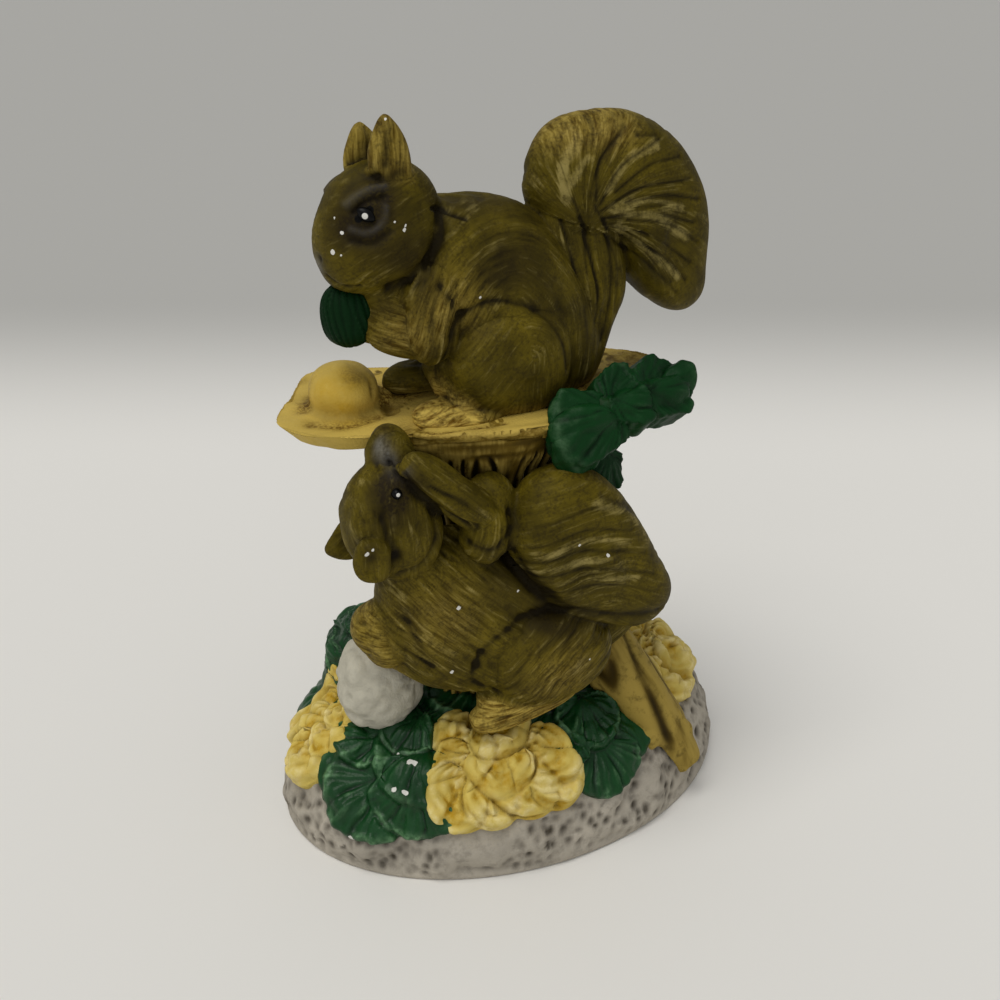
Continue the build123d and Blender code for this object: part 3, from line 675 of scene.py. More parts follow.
def bark_paint():
    """Stained bisque porcelain with modelled bark: brown, with painted shade in the furrows and straw colour
    on the ridges as painted highlight.
    """
    _, paint = settings()
    material, tree, _, (strand, cut, hollow, pale, blotch, cloud) = new_paint(
        "stained_bisque_bark", 0.7, 0.12, "strand cut hollow pale", ((2.2, 5.0, 0.65), (10.0, 3.0, 0.5)))
    # Brush streaks run down the bark, under a millimetre wide
    flow = add(tree, "Attribute", attribute_name="flow").outputs["Vector"]
    streaks = add(tree, "Mapping", {"Vector": flow, "Scale": (1 / 7.0, 1 / 0.8, 1 / 3.0)})
    hairs = add(tree, "TexNoise", {"Vector": streaks, "Scale": 1.0, "Detail": 3.0})
    ridge = add(tree, "Math", (hairs, 1.4, strand), operation="MULTIPLY_ADD")
    ridge = add(tree, "Math", (ridge, pale), operation="ADD")
    crease_shade = add(tree, "Math", (cut, hollow), operation="ADD")
    coats = (
        (add(tree, "MapRange", (cloud, 0.3, 0.7)), shade(paint.bark, 1.25)),
        # Painted highlight: straw colour on the bark's ridges
        (add(tree, "MapRange", (ridge, 0.55, 1.3, 0.0, 0.9), interpolation_type="SMOOTHSTEP"),
         paint.bark_light),
        (add(tree, "MapRange", (blotch, 0.48, 0.3, 0.0, 0.6)), shade(paint.bark, 0.4)),
        # Painted shade in the furrows and the hollows
        (add(tree, "MapRange", (crease_shade, 0.0, 1.0, 0.0, 0.92)), paint.fur_crease_shade),
    )
    relief = add(tree, "Math", (hairs, blotch), operation="ADD")
    return dress(material, shade(paint.bark, 0.75), coats, relief, 0.12)


def wood_paint():
    """Painted bisque porcelain as freshly torn wood: pale yellow, with brown rubbed into its low places as
    stain and as painted shade, and bark on its outer edge."""
    _, paint = settings()
    material, tree, _, (stain, ochre, hollow, bark, cut, cloud, blotch, spray) = new_paint(
        "painted_bisque_wood", 0.62, 0.15, "stain ochre hollow bark cut",
        ((12.0, 4.0, 0.5), (2.0, 5.0, 0.7), (0.45, 2.0, 0.5)))
    gold = add(tree, "MapRange", (blotch, 0.3, 0.6, 0.4))
    relief = add(tree, "Math", (blotch, spray), operation="ADD")
    rubbed = add(tree, "MapRange", (relief, 1.2, 0.85, 0.15))
    ridge = add(tree, "MapRange", (blotch, 0.4, 0.66))
    rough = add(tree, "Mix", {0: ridge, 6: shade(paint.bark, 1.6), 7: shade(paint.bark_light, 1.2)},
                data_type="RGBA")
    crease_shade = add(tree, "Math", (cut, hollow), operation="ADD")
    coats = (
        (add(tree, "MapRange", (cloud, 0.35, 0.65)), shade(paint.wood, 0.78)),
        (add(tree, "Math", (ochre, gold), operation="MULTIPLY", use_clamp=True), paint.yellow_deep),
        (add(tree, "Math", (stain, rubbed), operation="MULTIPLY", use_clamp=True), paint.wood_stain),
        (add(tree, "MapRange", (bark, 0.35, 0.6)), rough),
        # Painted shade in the creases and the hollows
        (add(tree, "MapRange", (crease_shade, 0.0, 1.0, 0.0, 0.88)), shade(paint.wood_stain, 0.3)),
    )
    return dress(material, paint.wood, coats, relief, 0.1)


def leaf_paint(name, base, raised, low, soil, roughness, specular):
    """Painted bisque porcelain leaves: a deeper colour between the veins, partly painted shade, painted
    highlight on the high parts, soil colour between the leaves, and chips."""
    _, paint = settings()
    material, tree, _, (high, deep, earth, hollow, chip, cloud, blotch, spray) = new_paint(
        name, roughness, specular, "high low earth hollow chip",
        ((8.0, 3.0, 0.5), (1.7, 5.0, 0.65), (0.45, 2.0, 0.5)))
    sunk = add(tree, "MapRange", (blotch, 0.3, 0.65))
    highlight_patches = add(tree, "MapRange", (blotch, 0.38, 0.62, 0.1))
    relief = add(tree, "Math", (blotch, spray), operation="ADD")
    dust = add(tree, "MapRange", (relief, 1.15, 0.85, 0.1))
    torn = add(tree, "Math", (blotch, 1.2, chip), operation="MULTIPLY_ADD")
    coats = (
        (add(tree, "MapRange", (cloud, 0.3, 0.7)), shade(base, 1.15)),
        # A deeper colour in the veins' grooves and low parts, partly painted shade
        (add(tree, "Math", (deep, sunk), operation="MULTIPLY", use_clamp=True), low),
        # Painted highlight on the rims and raised parts
        (add(tree, "Math", (high, highlight_patches), operation="MULTIPLY", use_clamp=True), raised),
        (add(tree, "Math", (earth, dust), operation="MULTIPLY", use_clamp=True), soil),
        # Painted shade in the hollows
        (add(tree, "MapRange", (hollow, 0.0, 1.0, 0.0, 0.8)), shade(low, 0.3)),
        (add(tree, "MapRange", (torn, 1.12, 1.2)), paint.bare),
    )
    return dress(material, shade(base, 0.85), coats, relief, 0.09)


def stone_paint():
    """Bare bisque porcelain, dimpled and lightly dusted with grey, with painted shade in the dimples: the
    whitest part of the group.
    """
    _, paint = settings()
    material, tree, _, (pit, blotch, fine) = new_paint(
        "bare_bisque_stone", 0.8, 0.1, "pit", ((2.4, 4.0, 0.5), (0.6, 3.0, 0.5)))
    # The pits' coat is painted shade in the dimples
    coats = ((add(tree, "MapRange", (blotch, 0.35, 0.7)), shade(paint.stone, 0.8)),
             (pit, shade(paint.stone, 0.5)))
    relief = add(tree, "Math", (blotch, fine), operation="ADD")
    return dress(material, paint.stone, coats, relief, 0.14)


def eye_paint(name, highlight_place):
    """Black enamel over the bisque, glossier than the coat, with one white dot as a painted highlight."""
    _, paint = settings()
    material, tree, where, (ripple,) = new_paint(name, 0.4, 0.15, "", ((0.8, 2.0, 0.5),))
    away = add(tree, "VectorMath", (where, [c * MM for c in highlight_place]), operation="DISTANCE")
    # The painted highlight: a white dot on the black enamel
    inside = add(tree, "MapRange", (away.outputs["Value"], EYE_HIGHLIGHT_RADIUS * 1.08 * MM, EYE_HIGHLIGHT_RADIUS * 0.92 * MM))
    return dress(material, paint.glaze, ((inside, paint.bare),), ripple, 0.02)


# ---- operators ----

class FIGURINE_OT_rock(bpy.types.Operator):
    """Models the rocky base and the knoll behind it"""
    bl_idname = "figurine.rock"
    bl_label = "Rock"

    def execute(self, context):
        sizes, _ = settings()
        nodes = ("rocky_base", "rear_knoll")
        clay = cast("rock_mound", nodes, sizes.rock_grain, 5)
        shell = eased(clay.out[:, 2], -0.75, -0.5) * eased(clay.at[:, 2], 0.3, 2.5)
        clay.push(shell * (1.1 * grain(clay.at / 7.0, 3) + 0.8 * grain(clay.at / 3.4, 4) - 0.75))
        clay.settle()
        away, code = cells(clay.at / (2.1, 2.1, 2.4) + grain(clay.at / 2.5, 12)[:, None] * 0.2, 11)
        patch = eased(grain(clay.at / 8.0, 17), -0.9, -0.1)
        deep = np.exp(-(away / 0.42) ** 2) * eased(code, 0.0, 0.3) * shell * patch
        clay.push(-deep * sizes.pit_depth / MM)
        # The pits are marked for painted shade
        clay.mark("pit", deep * 1.15)
        clay.settle()
        hand_over(clay, 14, 1.6, rock_paint(), nodes)
        return {"FINISHED"}


# Knots, folds and ridges of the trunk and the front root: places, width, rise, mark, strength. The pale mark
# lays straw colour on the raised knots as painted highlight, and the cut mark holds painted shade
STUMP_CARVING = (
    (((21, -17.6, 30),), 2.6, 0.9, "pale", 0.3),
    (((25, -21, 24.6), (28.6, -25, 19)), 1.3, 0.7, "pale", 0.4),
    (((17, -12, 35), (22, -18, 27.4), (26.4, -24.6, 20)), 0.9, -0.7, "cut", 0.6),
    (((29.8, -26.6, 16.6),), 1.6, 0.8, "pale", 0.5),
)
# Clay that fattens the front root and gives it a blunt foot
STUMP_PATS = (((22.4, -25, 17.4), (4.4, 3.6, 3.8)), ((19.4, -21, 22.4), (3.8, 3, 5)),
    ((15.6, -16.4, 28.4), (4, 3.4, 6)), ((25.8, -25.6, 16.8), (3.6, 3.2, 3.2)))


class FIGURINE_OT_stump(bpy.types.Operator):
    """Models the trunk with its bark, and the roots"""
    bl_idname = "figurine.stump"
    bl_label = "Stump"

    def execute(self, context):
        sizes, _ = settings()
        clay = cast("stump", STUMP_NODES, sizes.stump_grain, 6, STUMP_PATS)
        x, y, z = clay.at.T
        turn = np.arctan2(y - TRUNK_Y, x - TRUNK_X)
        reach = np.hypot(x - TRUNK_X, y - TRUNK_Y)
        on_root = eased(reach, 17, 22) * eased(z, 60, 50)
        trunk = np.stack([z, turn * TRUNK_ROUND, reach * 0.3], axis=1)
        root = np.stack([reach, turn * ROOT_ROUND, z * 0.3], axis=1)
        clay.flow = np.where((on_root > 0.5)[:, None], root, trunk)
        depth = sizes.bark_depth / MM
        relief, furrow = strands(trunk, 14.0, 2.3, 0.9, 31)
        root_relief, root_furrow = strands(root, 12.0, 3.2, 0.7, 41)
        lip = eased(z, 83.0, 85.0)
        folds = grain(np.stack([x / 6.0, y / 6.0, z / 1.3], axis=1), 36)
        relief = (relief * (1 - lip) + lip * folds * 0.6) * (1 - on_root) + 0.9 * root_relief * on_root
        furrow = furrow * (1 - lip) * (1 - on_root) + 0.7 * root_furrow * on_root
        clay.push(depth * relief)
        clay.mark("strand", relief)
        # The bark's furrows and the lip's folds are marked for painted shade
        clay.mark("cut", furrow + 0.4 * lip * eased(-folds, 0.2, 0.6))
        clay.mark("pale", 0.35 * on_root)
        clay.settle()
        carve(clay, STUMP_CARVING)
        hand_over(clay, 14, 2.0, bark_paint(), STUMP_NODES)
        return {"FINISHED"}


# The broken top: creases behind the burl and round the foot, stains, and the burl's ochre. The stain laid in
# the cut creases is painted shade as well
TOP_CARVING = (
    (((-24.4, -3.4, 90), (-24, 2, 90.6), (-25.6, 8, 90.4)), 1.3, -0.7, "stain", 1.2),
    (((-27, -4.4, 89.8), (-33, -5.4, 89.6), (-38.6, -2.4, 89.8)), 1.6, -0.5, "stain", 0.9),
    (((-38.4, 4, 90.2), (-35, 9.6, 90.4)), 1.6, -0.4, "stain", 0.9),
    (((-20, 4, 90), (-14, 6, 90)), 4, -0.3, "stain", 1.2),
    (((-21.4, -11, 90), (-22.4, -14.4, 90), (-18, -16.8, 90), (-8, -16.6, 90)), 0.7, -0.4, "stain", 1.1),
    (((16, -7, 90), (24, -5, 90), (28, 1, 90)), 4, -0.3, "stain", 1.2),
    (((8, -13.4, 90), (12, -8, 90)), 2, 0, "stain", 0.8),
    (((-22, -16.8, 90.2), (-8, -19.8, 90.2), (4, -20.8, 90.2)), 1.5, 0.5, None, 0),
    (((-34.4, 1, 94), (-31, 0, 95)), 3.6, 0, "ochre", 0.7),
    (((-33, -3, 91),), 2.6, 0, "ochre", 0.5),
    (((-34, -5, 91.4), (-29.6, -5.2, 91.4)), 1.7, 0, "ochre", 0.9),
    (((-26.4, -4, 91.2), (-26.6, -1, 94), (-28.2, 2.6, 95.6)), 0.8, -0.7, "stain", 0.6),
)


class FIGURINE_OT_broken_top(bpy.types.Operator):
    """Models the torn wood on top of the stump, the burl on it and the bark round its edge"""
    bl_idname = "figurine.broken_top"
    bl_label = "Broken top"

    def execute(self, context):
        sizes, _ = settings()
        nodes = ("stump_top", "stump_burl")
        pats = (((-29.0, 4.0, 89.4), (8.5, 6.0, 3.6)),)
        clay = cast("broken_top", nodes, sizes.small_grain, 8, pats)
        clay.push(0.4 * grain(clay.at / (9.0, 5.0, 5.0), 51) - 0.25
                  + 0.16 * grain(clay.at / (6.0, 1.6, 3.0), 52))
        clay.settle()
        carve(clay, TOP_CARVING)
        x, y, z = clay.at.T
        # The bark reaches up to a ragged line just under the torn face, and not out on the left splinter
        ragged = 89.7 + 0.9 * grain(np.stack([x / 3.0, y / 3.0, z * 0], axis=1), 54)
        ragged = ragged + 0.5 * grain(np.stack([x / 1.1, y / 1.1, z * 0], axis=1), 55)
        inner = eased(x, -27.5, -24.0)
        bark = eased(ragged - z, -0.1, 0.25) * inner
        folds = grain(np.stack([x / 4.0, y / 4.0, z / 0.9], axis=1), 56)
        clay.push(bark * (0.5 * folds + 0.15))
        clay.mark("bark", bark)
        line = np.exp(-((ragged - z - 0.1) / 0.22) ** 2) * inner * (np.abs(clay.out[:, 2]) < 0.9)
        clay.mark("cut", bark * (0.3 * eased(-folds, 0.15, 0.6)) + 0.4 * line)
        clay.mark("stain", 0.45 * eased(grain(clay.at / 6.0, 53), -0.1, 0.6))
        clay.settle()
        hand_over(clay, 14, 2.0, wood_paint(), nodes)
        return {"FINISHED"}


class FIGURINE_OT_stone(bpy.types.Operator):
    """Models the pale stone under the lower squirrel's paw"""
    bl_idname = "figurine.stone"
    bl_label = "Pale stone"

    def execute(self, context):
        sizes, _ = settings()
        clay = cast("loose_stone", ("pale_stone",), sizes.small_grain, 5)
        away, code = cells(clay.at / (2.8, 2.8, 2.0), 61)
        dimple = np.exp(-(away / 0.4) ** 2) * eased(code, 0.3, 0.6)
        lumps = 0.8 * np.abs(grain(clay.at / 4.6, 62)) + 0.3 * grain(clay.at / 2.0, 63)
        clay.push(lumps - 0.4 * dimple - 0.5)
        # The dimples are marked for painted shade
        clay.mark("pit", dimple * 0.45)
        clay.finish()
        settle_piece(clay.piece, stone_paint(), ("pale_stone",))
        return {"FINISHED"}


# Face and creases of the upper squirrel: places, of which those in the side plane touch both sides, width,
# rise, mark and strength
UPPER_CARVING = (
    (((-24.8, 122.5),), 4.6, 0.5, None, 0),
    (((-31, 125.6), (-28.8, 127.4), (-26, 130)), 2.8, -0.5, "dusk", 1.1),
    # Painted highlight on the upper eyelid's ridge
    (((-31.4, 128.8), (-29.8, 130.1), (-27.4, 131.1), (-25.2, 131.4)), 0.55, 0.6, "grey", 0.12),
    (((-31.2, 131.6), (-28.8, 132.5), (-26.2, 132.8)), 0.8, -0.5, "cut", 0.6),
    (((-30.8, 128), (-28.8, 129.5), (-25.8, 130)), 0.6, -0.5, "cut", 1.1),
    # Painted highlight on the lower eyelid's ridge
    (((-31.4, 125.2), (-29.2, 124.7), (-26.6, 126.2), (-25.6, 128.4)), 0.5, 0.5, "grey", 0.1),
    (((-31.8, 123.6), (-28.8, 123), (-25.6, 124.8)), 0.6, -0.35, "cut", 0.5),
    (((-31.8, 122.2), (-28.2, 121.6), (-24.8, 123.8)), 0.9, 0.3, None, 0),
    (((-30.2, 126.8), (-28.2, 128.2)), 0.75, -0.1, "ink", 0.9),
    (((-34.6, -4, 116.6), (-33, -6.4, 115.8), (-30.4, -8.2, 115.6)), 0.5, -0.5, "cut", 0.9),
    (((-35.6, -3.2, 119.4),), 0.8, -0.4, "cut", 0.9),
    (((-36, -2, 118),), 1.6, 0, "grey", 0.5),
    (((-15.6, 126.4), (-16.8, 121), (-20.6, 116.2), (-25.4, 114.6)), 1, -0.75, "cut", 0.9),
    (((-17.2, 127.1), (-14.2, 125.9), (-11.4, 124.8)), 0.4, -0.5, "cut", 1.1),
    (((-24.4, 139.4), (-24.4, 137.4), (-24.8, 134.6)), 0.9, -0.6, "cut", 0.3),
    (((-27.4, 133.6), (-24.8, 132.8), (-21.6, 133.4)), 0.8, -0.25, "cut", 0.25),
    (((-13.6, 109.4), (-9, 111.2), (-3.8, 110.4), (1.2, 107.6), (4.6, 102.6), (6, 96.8)), 0.75, -0.6, "cut",
     0.9),
    (((-13.8, 109), (-15.4, 105.6), (-16.6, 101), (-16.8, 95.6)), 0.9, -0.6, "cut", 0.9),
    (((-17.6, 115), (-15.2, 110.6), (-16, 106)), 0.8, -0.35, "cut", 0.6),
    (((-5, 117),), 5.4, -0.2, "dusk", 0.85),
    # Painted shade on the side of the face under the eye
    (((-27, 123.6), (-22, 119.6)), 4.4, 0, "dusk", 0.85),
    (((-30.6, 130.6), (-24.6, 132.4)), 2.6, 0, "dusk", 0.4),
    (((2, 109),), 4, 0, "dusk", 0.35),
    (((-12, -6, 127), (-4, -5, 126), (2, -6, 121)), 4, 0, "dusk", 0.6),
    (((-33.6, -6, 123.4), (-32, -3, 129)), 3, 0, "dusk", 0.5),
    (((-10, 92.4), (-2, 91.4), (5, 93.6)), 1.6, 0, "cut", 0.5),
)
# The tail's long strokes: cut lines that hold painted shade, and raised lines that take the light paint as
# painted highlight
TAIL_CUTS = (((14, 123.6), (21.5, 126.8), (32.5, 127.2)), ((14.9, 122.2), (23.1, 122.2), (33.4, 119.4)),
    ((15.8, 120.9), (24.4, 117.9), (33.3, 111.9)), ((17, 118.3), (23.6, 113.1), (31, 106.3)),
    ((13.6, 124.6), (17.8, 131.1), (26.3, 134.6)), ((12.8, 125.6), (13.6, 132.2), (19.7, 137.2)),
    ((19, 121.6), (27, 120.2), (34.6, 115.6)), ((18.6, 124.6), (26.4, 125), (34.6, 123.4)),
    ((16.6, 126.6), (23.4, 130.6), (30.6, 131.2)), ((20, 118), (27, 113.8), (32.6, 108.6)),
    ((21.6, 135.6), (25.8, 135.2)))
TAIL_RIDGES = (((16, 124), (23, 124.4), (30, 122.6)), ((17.6, 120.6), (24, 116), (30.6, 109.6)),
    ((15, 127), (19, 132), (25, 133.4)), ((7.6, 126), (7.2, 131.4), (10.4, 135.6)),
    ((8.6, 129), (11.4, 132.8)), ((17, 123.4), (25, 121.4), (32, 117)))
STEM_CUTS = (((7, 122), (9.3, 114.9), (10.6, 107), (10.9, 98.9), (9, 92)),
    ((9.8, 122.6), (13, 115.2), (14.2, 107.2), (13, 98.3)),
    ((12.6, 124.6), (16.3, 117.7), (17.6, 108.2), (15.8, 98.8)), ((8.6, 126), (11.6, 119), (12.2, 110)),
    ((14.4, 122), (18.6, 113), (18.6, 104)))
# Chips in the paint, where the white clay shows
UPPER_CHIPS = ((-24.5, -10.3, 126.1), (-23.2, -10.4, 124.8), (-22.8, -10.4, 125.4), (-32.6, -7.6, 124.6),
    (-34.2, -6.4, 127), (-24.2, -7.4, 141.6), (-34, -7, 121.4), (-33, -8.2, 121), (-11, -14.2, 112))
# The same for the lower squirrel
LOWER_CARVING = (
    (((-31, 84),), 3.2, -0.35, "dusk", 1.4),
    (((-30.6, 88), (-31.6, 84), (-33, 79.6)), 3, 0, "dusk", 0.6),
    (((-31.8, 91), (-30.6, 88.6)), 1.5, -0.3, "grey", 0.4),
    (((-30.6, -18.6, 88), (-32.4, -24, 90.8)), 0.5, 0, "ink", 1.1),
    (((-37.6, 71.4),), 2, -1.1, None, 0),
    (((-36.8, 74.6),), 1.3, -0.6, "dusk", 0.8),
    (((-37.4, 77.6),), 1.8, 0.3, None, 0),
    (((-34.4, 80.6), (-33, 76.6), (-31.6, 72.4)), 0.9, -0.5, "cut", 0.3),
    (((-32.2, 72.8),), 1.5, -0.5, "dusk", 1),
    (((-33.4, 81.4), (-34.4, 79.6), (-36.6, 79.6)), 0.7, -0.3, "cut", 0.2),
    (((-30, 87.4), (-26.4, 82.6), (-21, 77.4), (-17.4, 75.6)), 0.9, -0.7, "cut", 0.9),
    (((-24.6, 80), (-23.8, 75), (-26.6, 69.8), (-31, 68.2)), 1, -0.6, "cut", 0.8),
    (((-27.4, 86.4), (-21, 82), (-15.6, 77)), 0.5, -0.3, "cut", 0.5),
    (((-19.4, 72.6), (-15, 70.6), (-10.8, 73.4)), 0.9, -0.5, "cut", 0.8),
    (((-10.6, 76), (-10.8, 70), (-8, 64), (-3, 58.6)), 1, -0.5, "cut", 0.9),
    (((-12, 68), (-4, 58), (8, 52.5), (20, 49.6)), 1.2, -0.6, "cut", 0.9),
    (((-17.6, 46), (-15.6, 51), (-9, 54.6), (0, 54.6)), 1, -0.5, "cut", 0.8),
    (((-17, 49), (-18.4, 44), (-16, 40)), 0.8, -0.4, "cut", 0.6),
    (((-30, 60), (-29, 54), (-26, 48)), 1, -0.5, "cut", 0.6),
    (((-4, 53), (4, 51.6)), 3, 0, "dusk", 0.6),
    (((-12, 64), (-4, 56)), 5, 0, "dusk", 0.55),
    (((6, 78), (14, 72), (20, 64), (23, 56)), 0.6, -0.35, "cut", 0.7),
)
LOWER_TAIL_CUTS = (((-8, 70), (2, 72.6), (12, 70)), ((-9, 66.6), (2, 68.6), (15, 64.6)),
    ((-8, 63.6), (4, 64.8), (17, 59.6)), ((-5, 60), (6, 60.6), (18, 55.4)),
    ((-7, 74), (2, 76.4), (8, 75.4)))
LOWER_TAIL_RIDGES = (((-7, 68.4), (3, 70.6), (11, 68)), ((-8, 65), (2, 66.6), (12, 64.4)),
    ((-3, 62), (5, 62.8), (13, 60)), ((4, 77), (12, 72.6), (17, 66)))
LOWER_CHIPS = ((0.4, -31, 70), (6.1, -31.6, 67.4), (-36.8, -27, 76.4), (-37.8, -26.8, 75.6),
    (-21, -26.8, 60), (-9, -26.8, 60.6), (-22.4, -25, 46.4), (4, -30.6, 44))


def strokes(clay, cuts, ridges, share=1.0):
    """Long strokes over the combed fur: cut lines that hold painted shade, and ridges that take light paint
    as painted highlight.
    """
    table = [(line, 0.4, -0.3 * share, "cut", 0.6) for line in cuts]
    table += [(line, 0.8, 0.2 * share, "strand", 0.9 * share) for line in ridges]
    carve(clay, table)


def chip(clay, places, size=1.0):
    """Marks places where the paint has chipped, each of its own size."""
    for number, place in enumerate(places):
        middle = clay.at[np.argmin(np.linalg.norm(clay.at - place, axis=1))]
        away = np.linalg.norm(clay.at - middle, axis=1)
        clay.mark("chip", np.exp(-(away / (size * (0.5 + 0.16 * math.sin(number * 2.4)))) ** 2))


def add_eye(name, place, out, long, tall, thick, turn, material):
    """An almond of enamel set into the head: a ball pressed to three sizes, facing out, and turned there."""
    bpy.ops.object.select_all(action="DESELECT")
    bpy.ops.mesh.primitive_uv_sphere_add(segments=40, ring_count=24, radius=MM)
    piece = bpy.context.object
    piece.name = piece.data.name = name
    out = Vector(out).normalized()
    side = Vector((0, 0, 1)).cross(out).normalized()
    up = out.cross(side)
    side, up = (side * math.cos(turn) + up * math.sin(turn), up * math.cos(turn) - side * math.sin(turn))
    for vertex in piece.data.vertices:
        u, v, w = vertex.co / MM
        pinch = 1 - 0.35 * u ** 2
        vertex.co = (Vector(place) + side * u * long / 2 + up * v * pinch * tall / 2
                     + out * w * thick / 2) * MM
    bpy.ops.object.shade_smooth()
    settle_piece(piece, material)


# Clay that fills the gaps under the chin, between the paws, and where the feet meet the broken top
UPPER_PATS = (((-23.6, -2, 112), (6, 6.4, 4.6)), ((-26, -2.4, 107.6), (5, 4.6, 4.6)),
    ((-17, -2, 105), (5, 7.5, 6)), ((-12, -2, 97), (5, 8, 6)), ((-13, -10, 90.2), (9.5, 5.6, 2.4)))
LOWER_PATS = (((-28.6, -14, 86), (4.4, 5.4, 6.4)), ((-26, -15, 66), (6.5, 8, 8)),
    ((-31.6, -16, 52), (5, 6.6, 7)), ((-12, -19, 76), (5, 5, 6)), ((-10, -22, 34.5), (6, 5, 4.5)))


class FIGURINE_OT_upper_squirrel(bpy.types.Operator):
    """Models the squirrel on top of the stump, with its tail and eyes"""
    bl_idname = "figurine.upper_squirrel"
    bl_label = "Upper squirrel"

    def execute(self, context):
        sizes, _ = settings()
        clay = cast("upper_squirrel", UPPER_NODES, sizes.squirrel_grain, 6, UPPER_PATS)
        shares = shares_of(clay, UPPER_NODES)
        # The near foot is pressed down to half its height over the slab
        foot = shares["upper_near_foot"]
        clay.at[:, 2] -= foot * np.clip(clay.at[:, 2] - SLAB_TOP, 0, 9) * 0.5
        clay.settle()
        comb(clay, shares, UPPER_FUR, 100)
        carve(clay, UPPER_CARVING)
        # The long strokes shape the tail alone, though their paint may run on to the back
        tail = shares["upper_tail_plume"] + shares["upper_tail_stem"]
        held = clay.at.copy()
        strokes(clay, TAIL_CUTS + STEM_CUTS, TAIL_RIDGES)
        clay.at = np.where(tail[:, None] > 0.2, clay.at, held)
        chip(clay, UPPER_CHIPS, 0.8)
        x, _, z = clay.at.T
        # Tan on the feet, ears and chest, and a painted highlight on the tail's top
        tail_top_highlight = eased(z, 131.0, 137.0) * eased(x, 0.0, 4.0) * eased(x, 26.0, 18.0)
        ears = shares["upper_near_ear"] + shares["upper_far_ear"]
        chest = np.exp(-((x + 16.0) ** 2 + (z - 111.0) ** 2) / 30.0)
        chest += np.exp(-((x + 24.0) ** 2 + (z - 106.0) ** 2) / 20.0)
        clay.mark("tan", 0.85 * foot + 0.3 * eased(z, 93.0, 90.0) + 0.35 * (ears + tail_top_highlight + chest))
        clay.settle()
        hand_over(clay, 16, 2.2, fur_paint(), UPPER_NODES)
        x, reach, z = UPPER_EYE
        for name, side in (("upper_near_eye", -1), ("upper_far_eye", 1)):
            place = (x, FIGURINE_MIDDLE + side * reach, z)
            # The eye's painted highlight sits here
            highlight_place = (x - 0.5, FIGURINE_MIDDLE + side * (reach + 0.8), z)
            add_eye(name, place, (-0.35, side * 0.9, 0.3), 3.4, 2.2, 1.9, 0.6 * side,
                    eye_paint(name + "_enamel", highlight_place))
        return {"FINISHED"}


class FIGURINE_OT_lower_squirrel(bpy.types.Operator):
    """Models the squirrel that climbs the stump, with its eye"""
    bl_idname = "figurine.lower_squirrel"
    bl_label = "Lower squirrel"

    def execute(self, context):
        sizes, _ = settings()
        clay = cast("lower_squirrel", LOWER_NODES, sizes.squirrel_grain, 6, LOWER_PATS)
        shares = shares_of(clay, LOWER_NODES)
        comb(clay, shares, LOWER_FUR, 300)
        carve(clay, LOWER_CARVING)
        strokes(clay, LOWER_TAIL_CUTS, LOWER_TAIL_RIDGES, 0.55)
        chip(clay, LOWER_CHIPS, 0.85)
        x, _, z = clay.at.T
        chest = np.exp(-((x + 24.0) ** 2 + (z - 58.0) ** 2) / 60.0)
        belly = np.exp(-((x + 2.0) ** 2 + (z - 42.0) ** 2) / 50.0)
        clay.mark("tan", 0.65 * shares["lower_foot"] + 0.3 * shares["lower_forepaw"] + 0.22 * (chest + belly))
        hand_over(clay, 16, 2.2, bpy.data.materials["stained_bisque_fur"], LOWER_NODES)
        # The eye's painted highlight sits here
        highlight_place = (-30.95, -24.5, 84.3)
        add_eye("lower_near_eye", (-30.8, -23.0, 83.9), (-0.24, -0.86, 0.46), 2.0, 2.0, 2.6, 0.0,
                eye_paint("lower_near_eye_enamel", highlight_place))
        return {"FINISHED"}


class FIGURINE_OT_nut(bpy.types.Operator):
    """Models the green nut that the upper squirrel gnaws"""
    bl_idname = "figurine.nut"
    bl_label = "Nut"

    def execute(self, context):
        sizes, paint = settings()
        clay = cast("green_nut", ("nut",), sizes.small_grain, 5)
        x, y, z = clay.at.T
        turn = np.arctan2(y - FIGURINE_MIDDLE, x + 30.75)
        spiral = np.stack([z + turn * 2.0, turn * 5.2 + 0.25 * z, z * 0], axis=1)
        relief, furrow = strands(spiral, 9.0, 1.6, 0.95, 71)
        clay.push(0.25 * relief - 0.1)
        # Painted highlight on the raised twists of the nut, and painted shade in its furrows
        clay.mark("high", eased(relief, 0.45, 0.8) * 0.3)
        clay.mark("low", furrow)
        clay.settle()
        green = leaf_paint("painted_bisque_nut", shade(paint.leaf, 0.4), shade(paint.leaf_light, 0.4),
                           shade(paint.leaf, 0.3), paint.dusk, 0.6, 0.08)
        hand_over(clay, 8, 3.0, green, ("nut",))
        return {"FINISHED"}


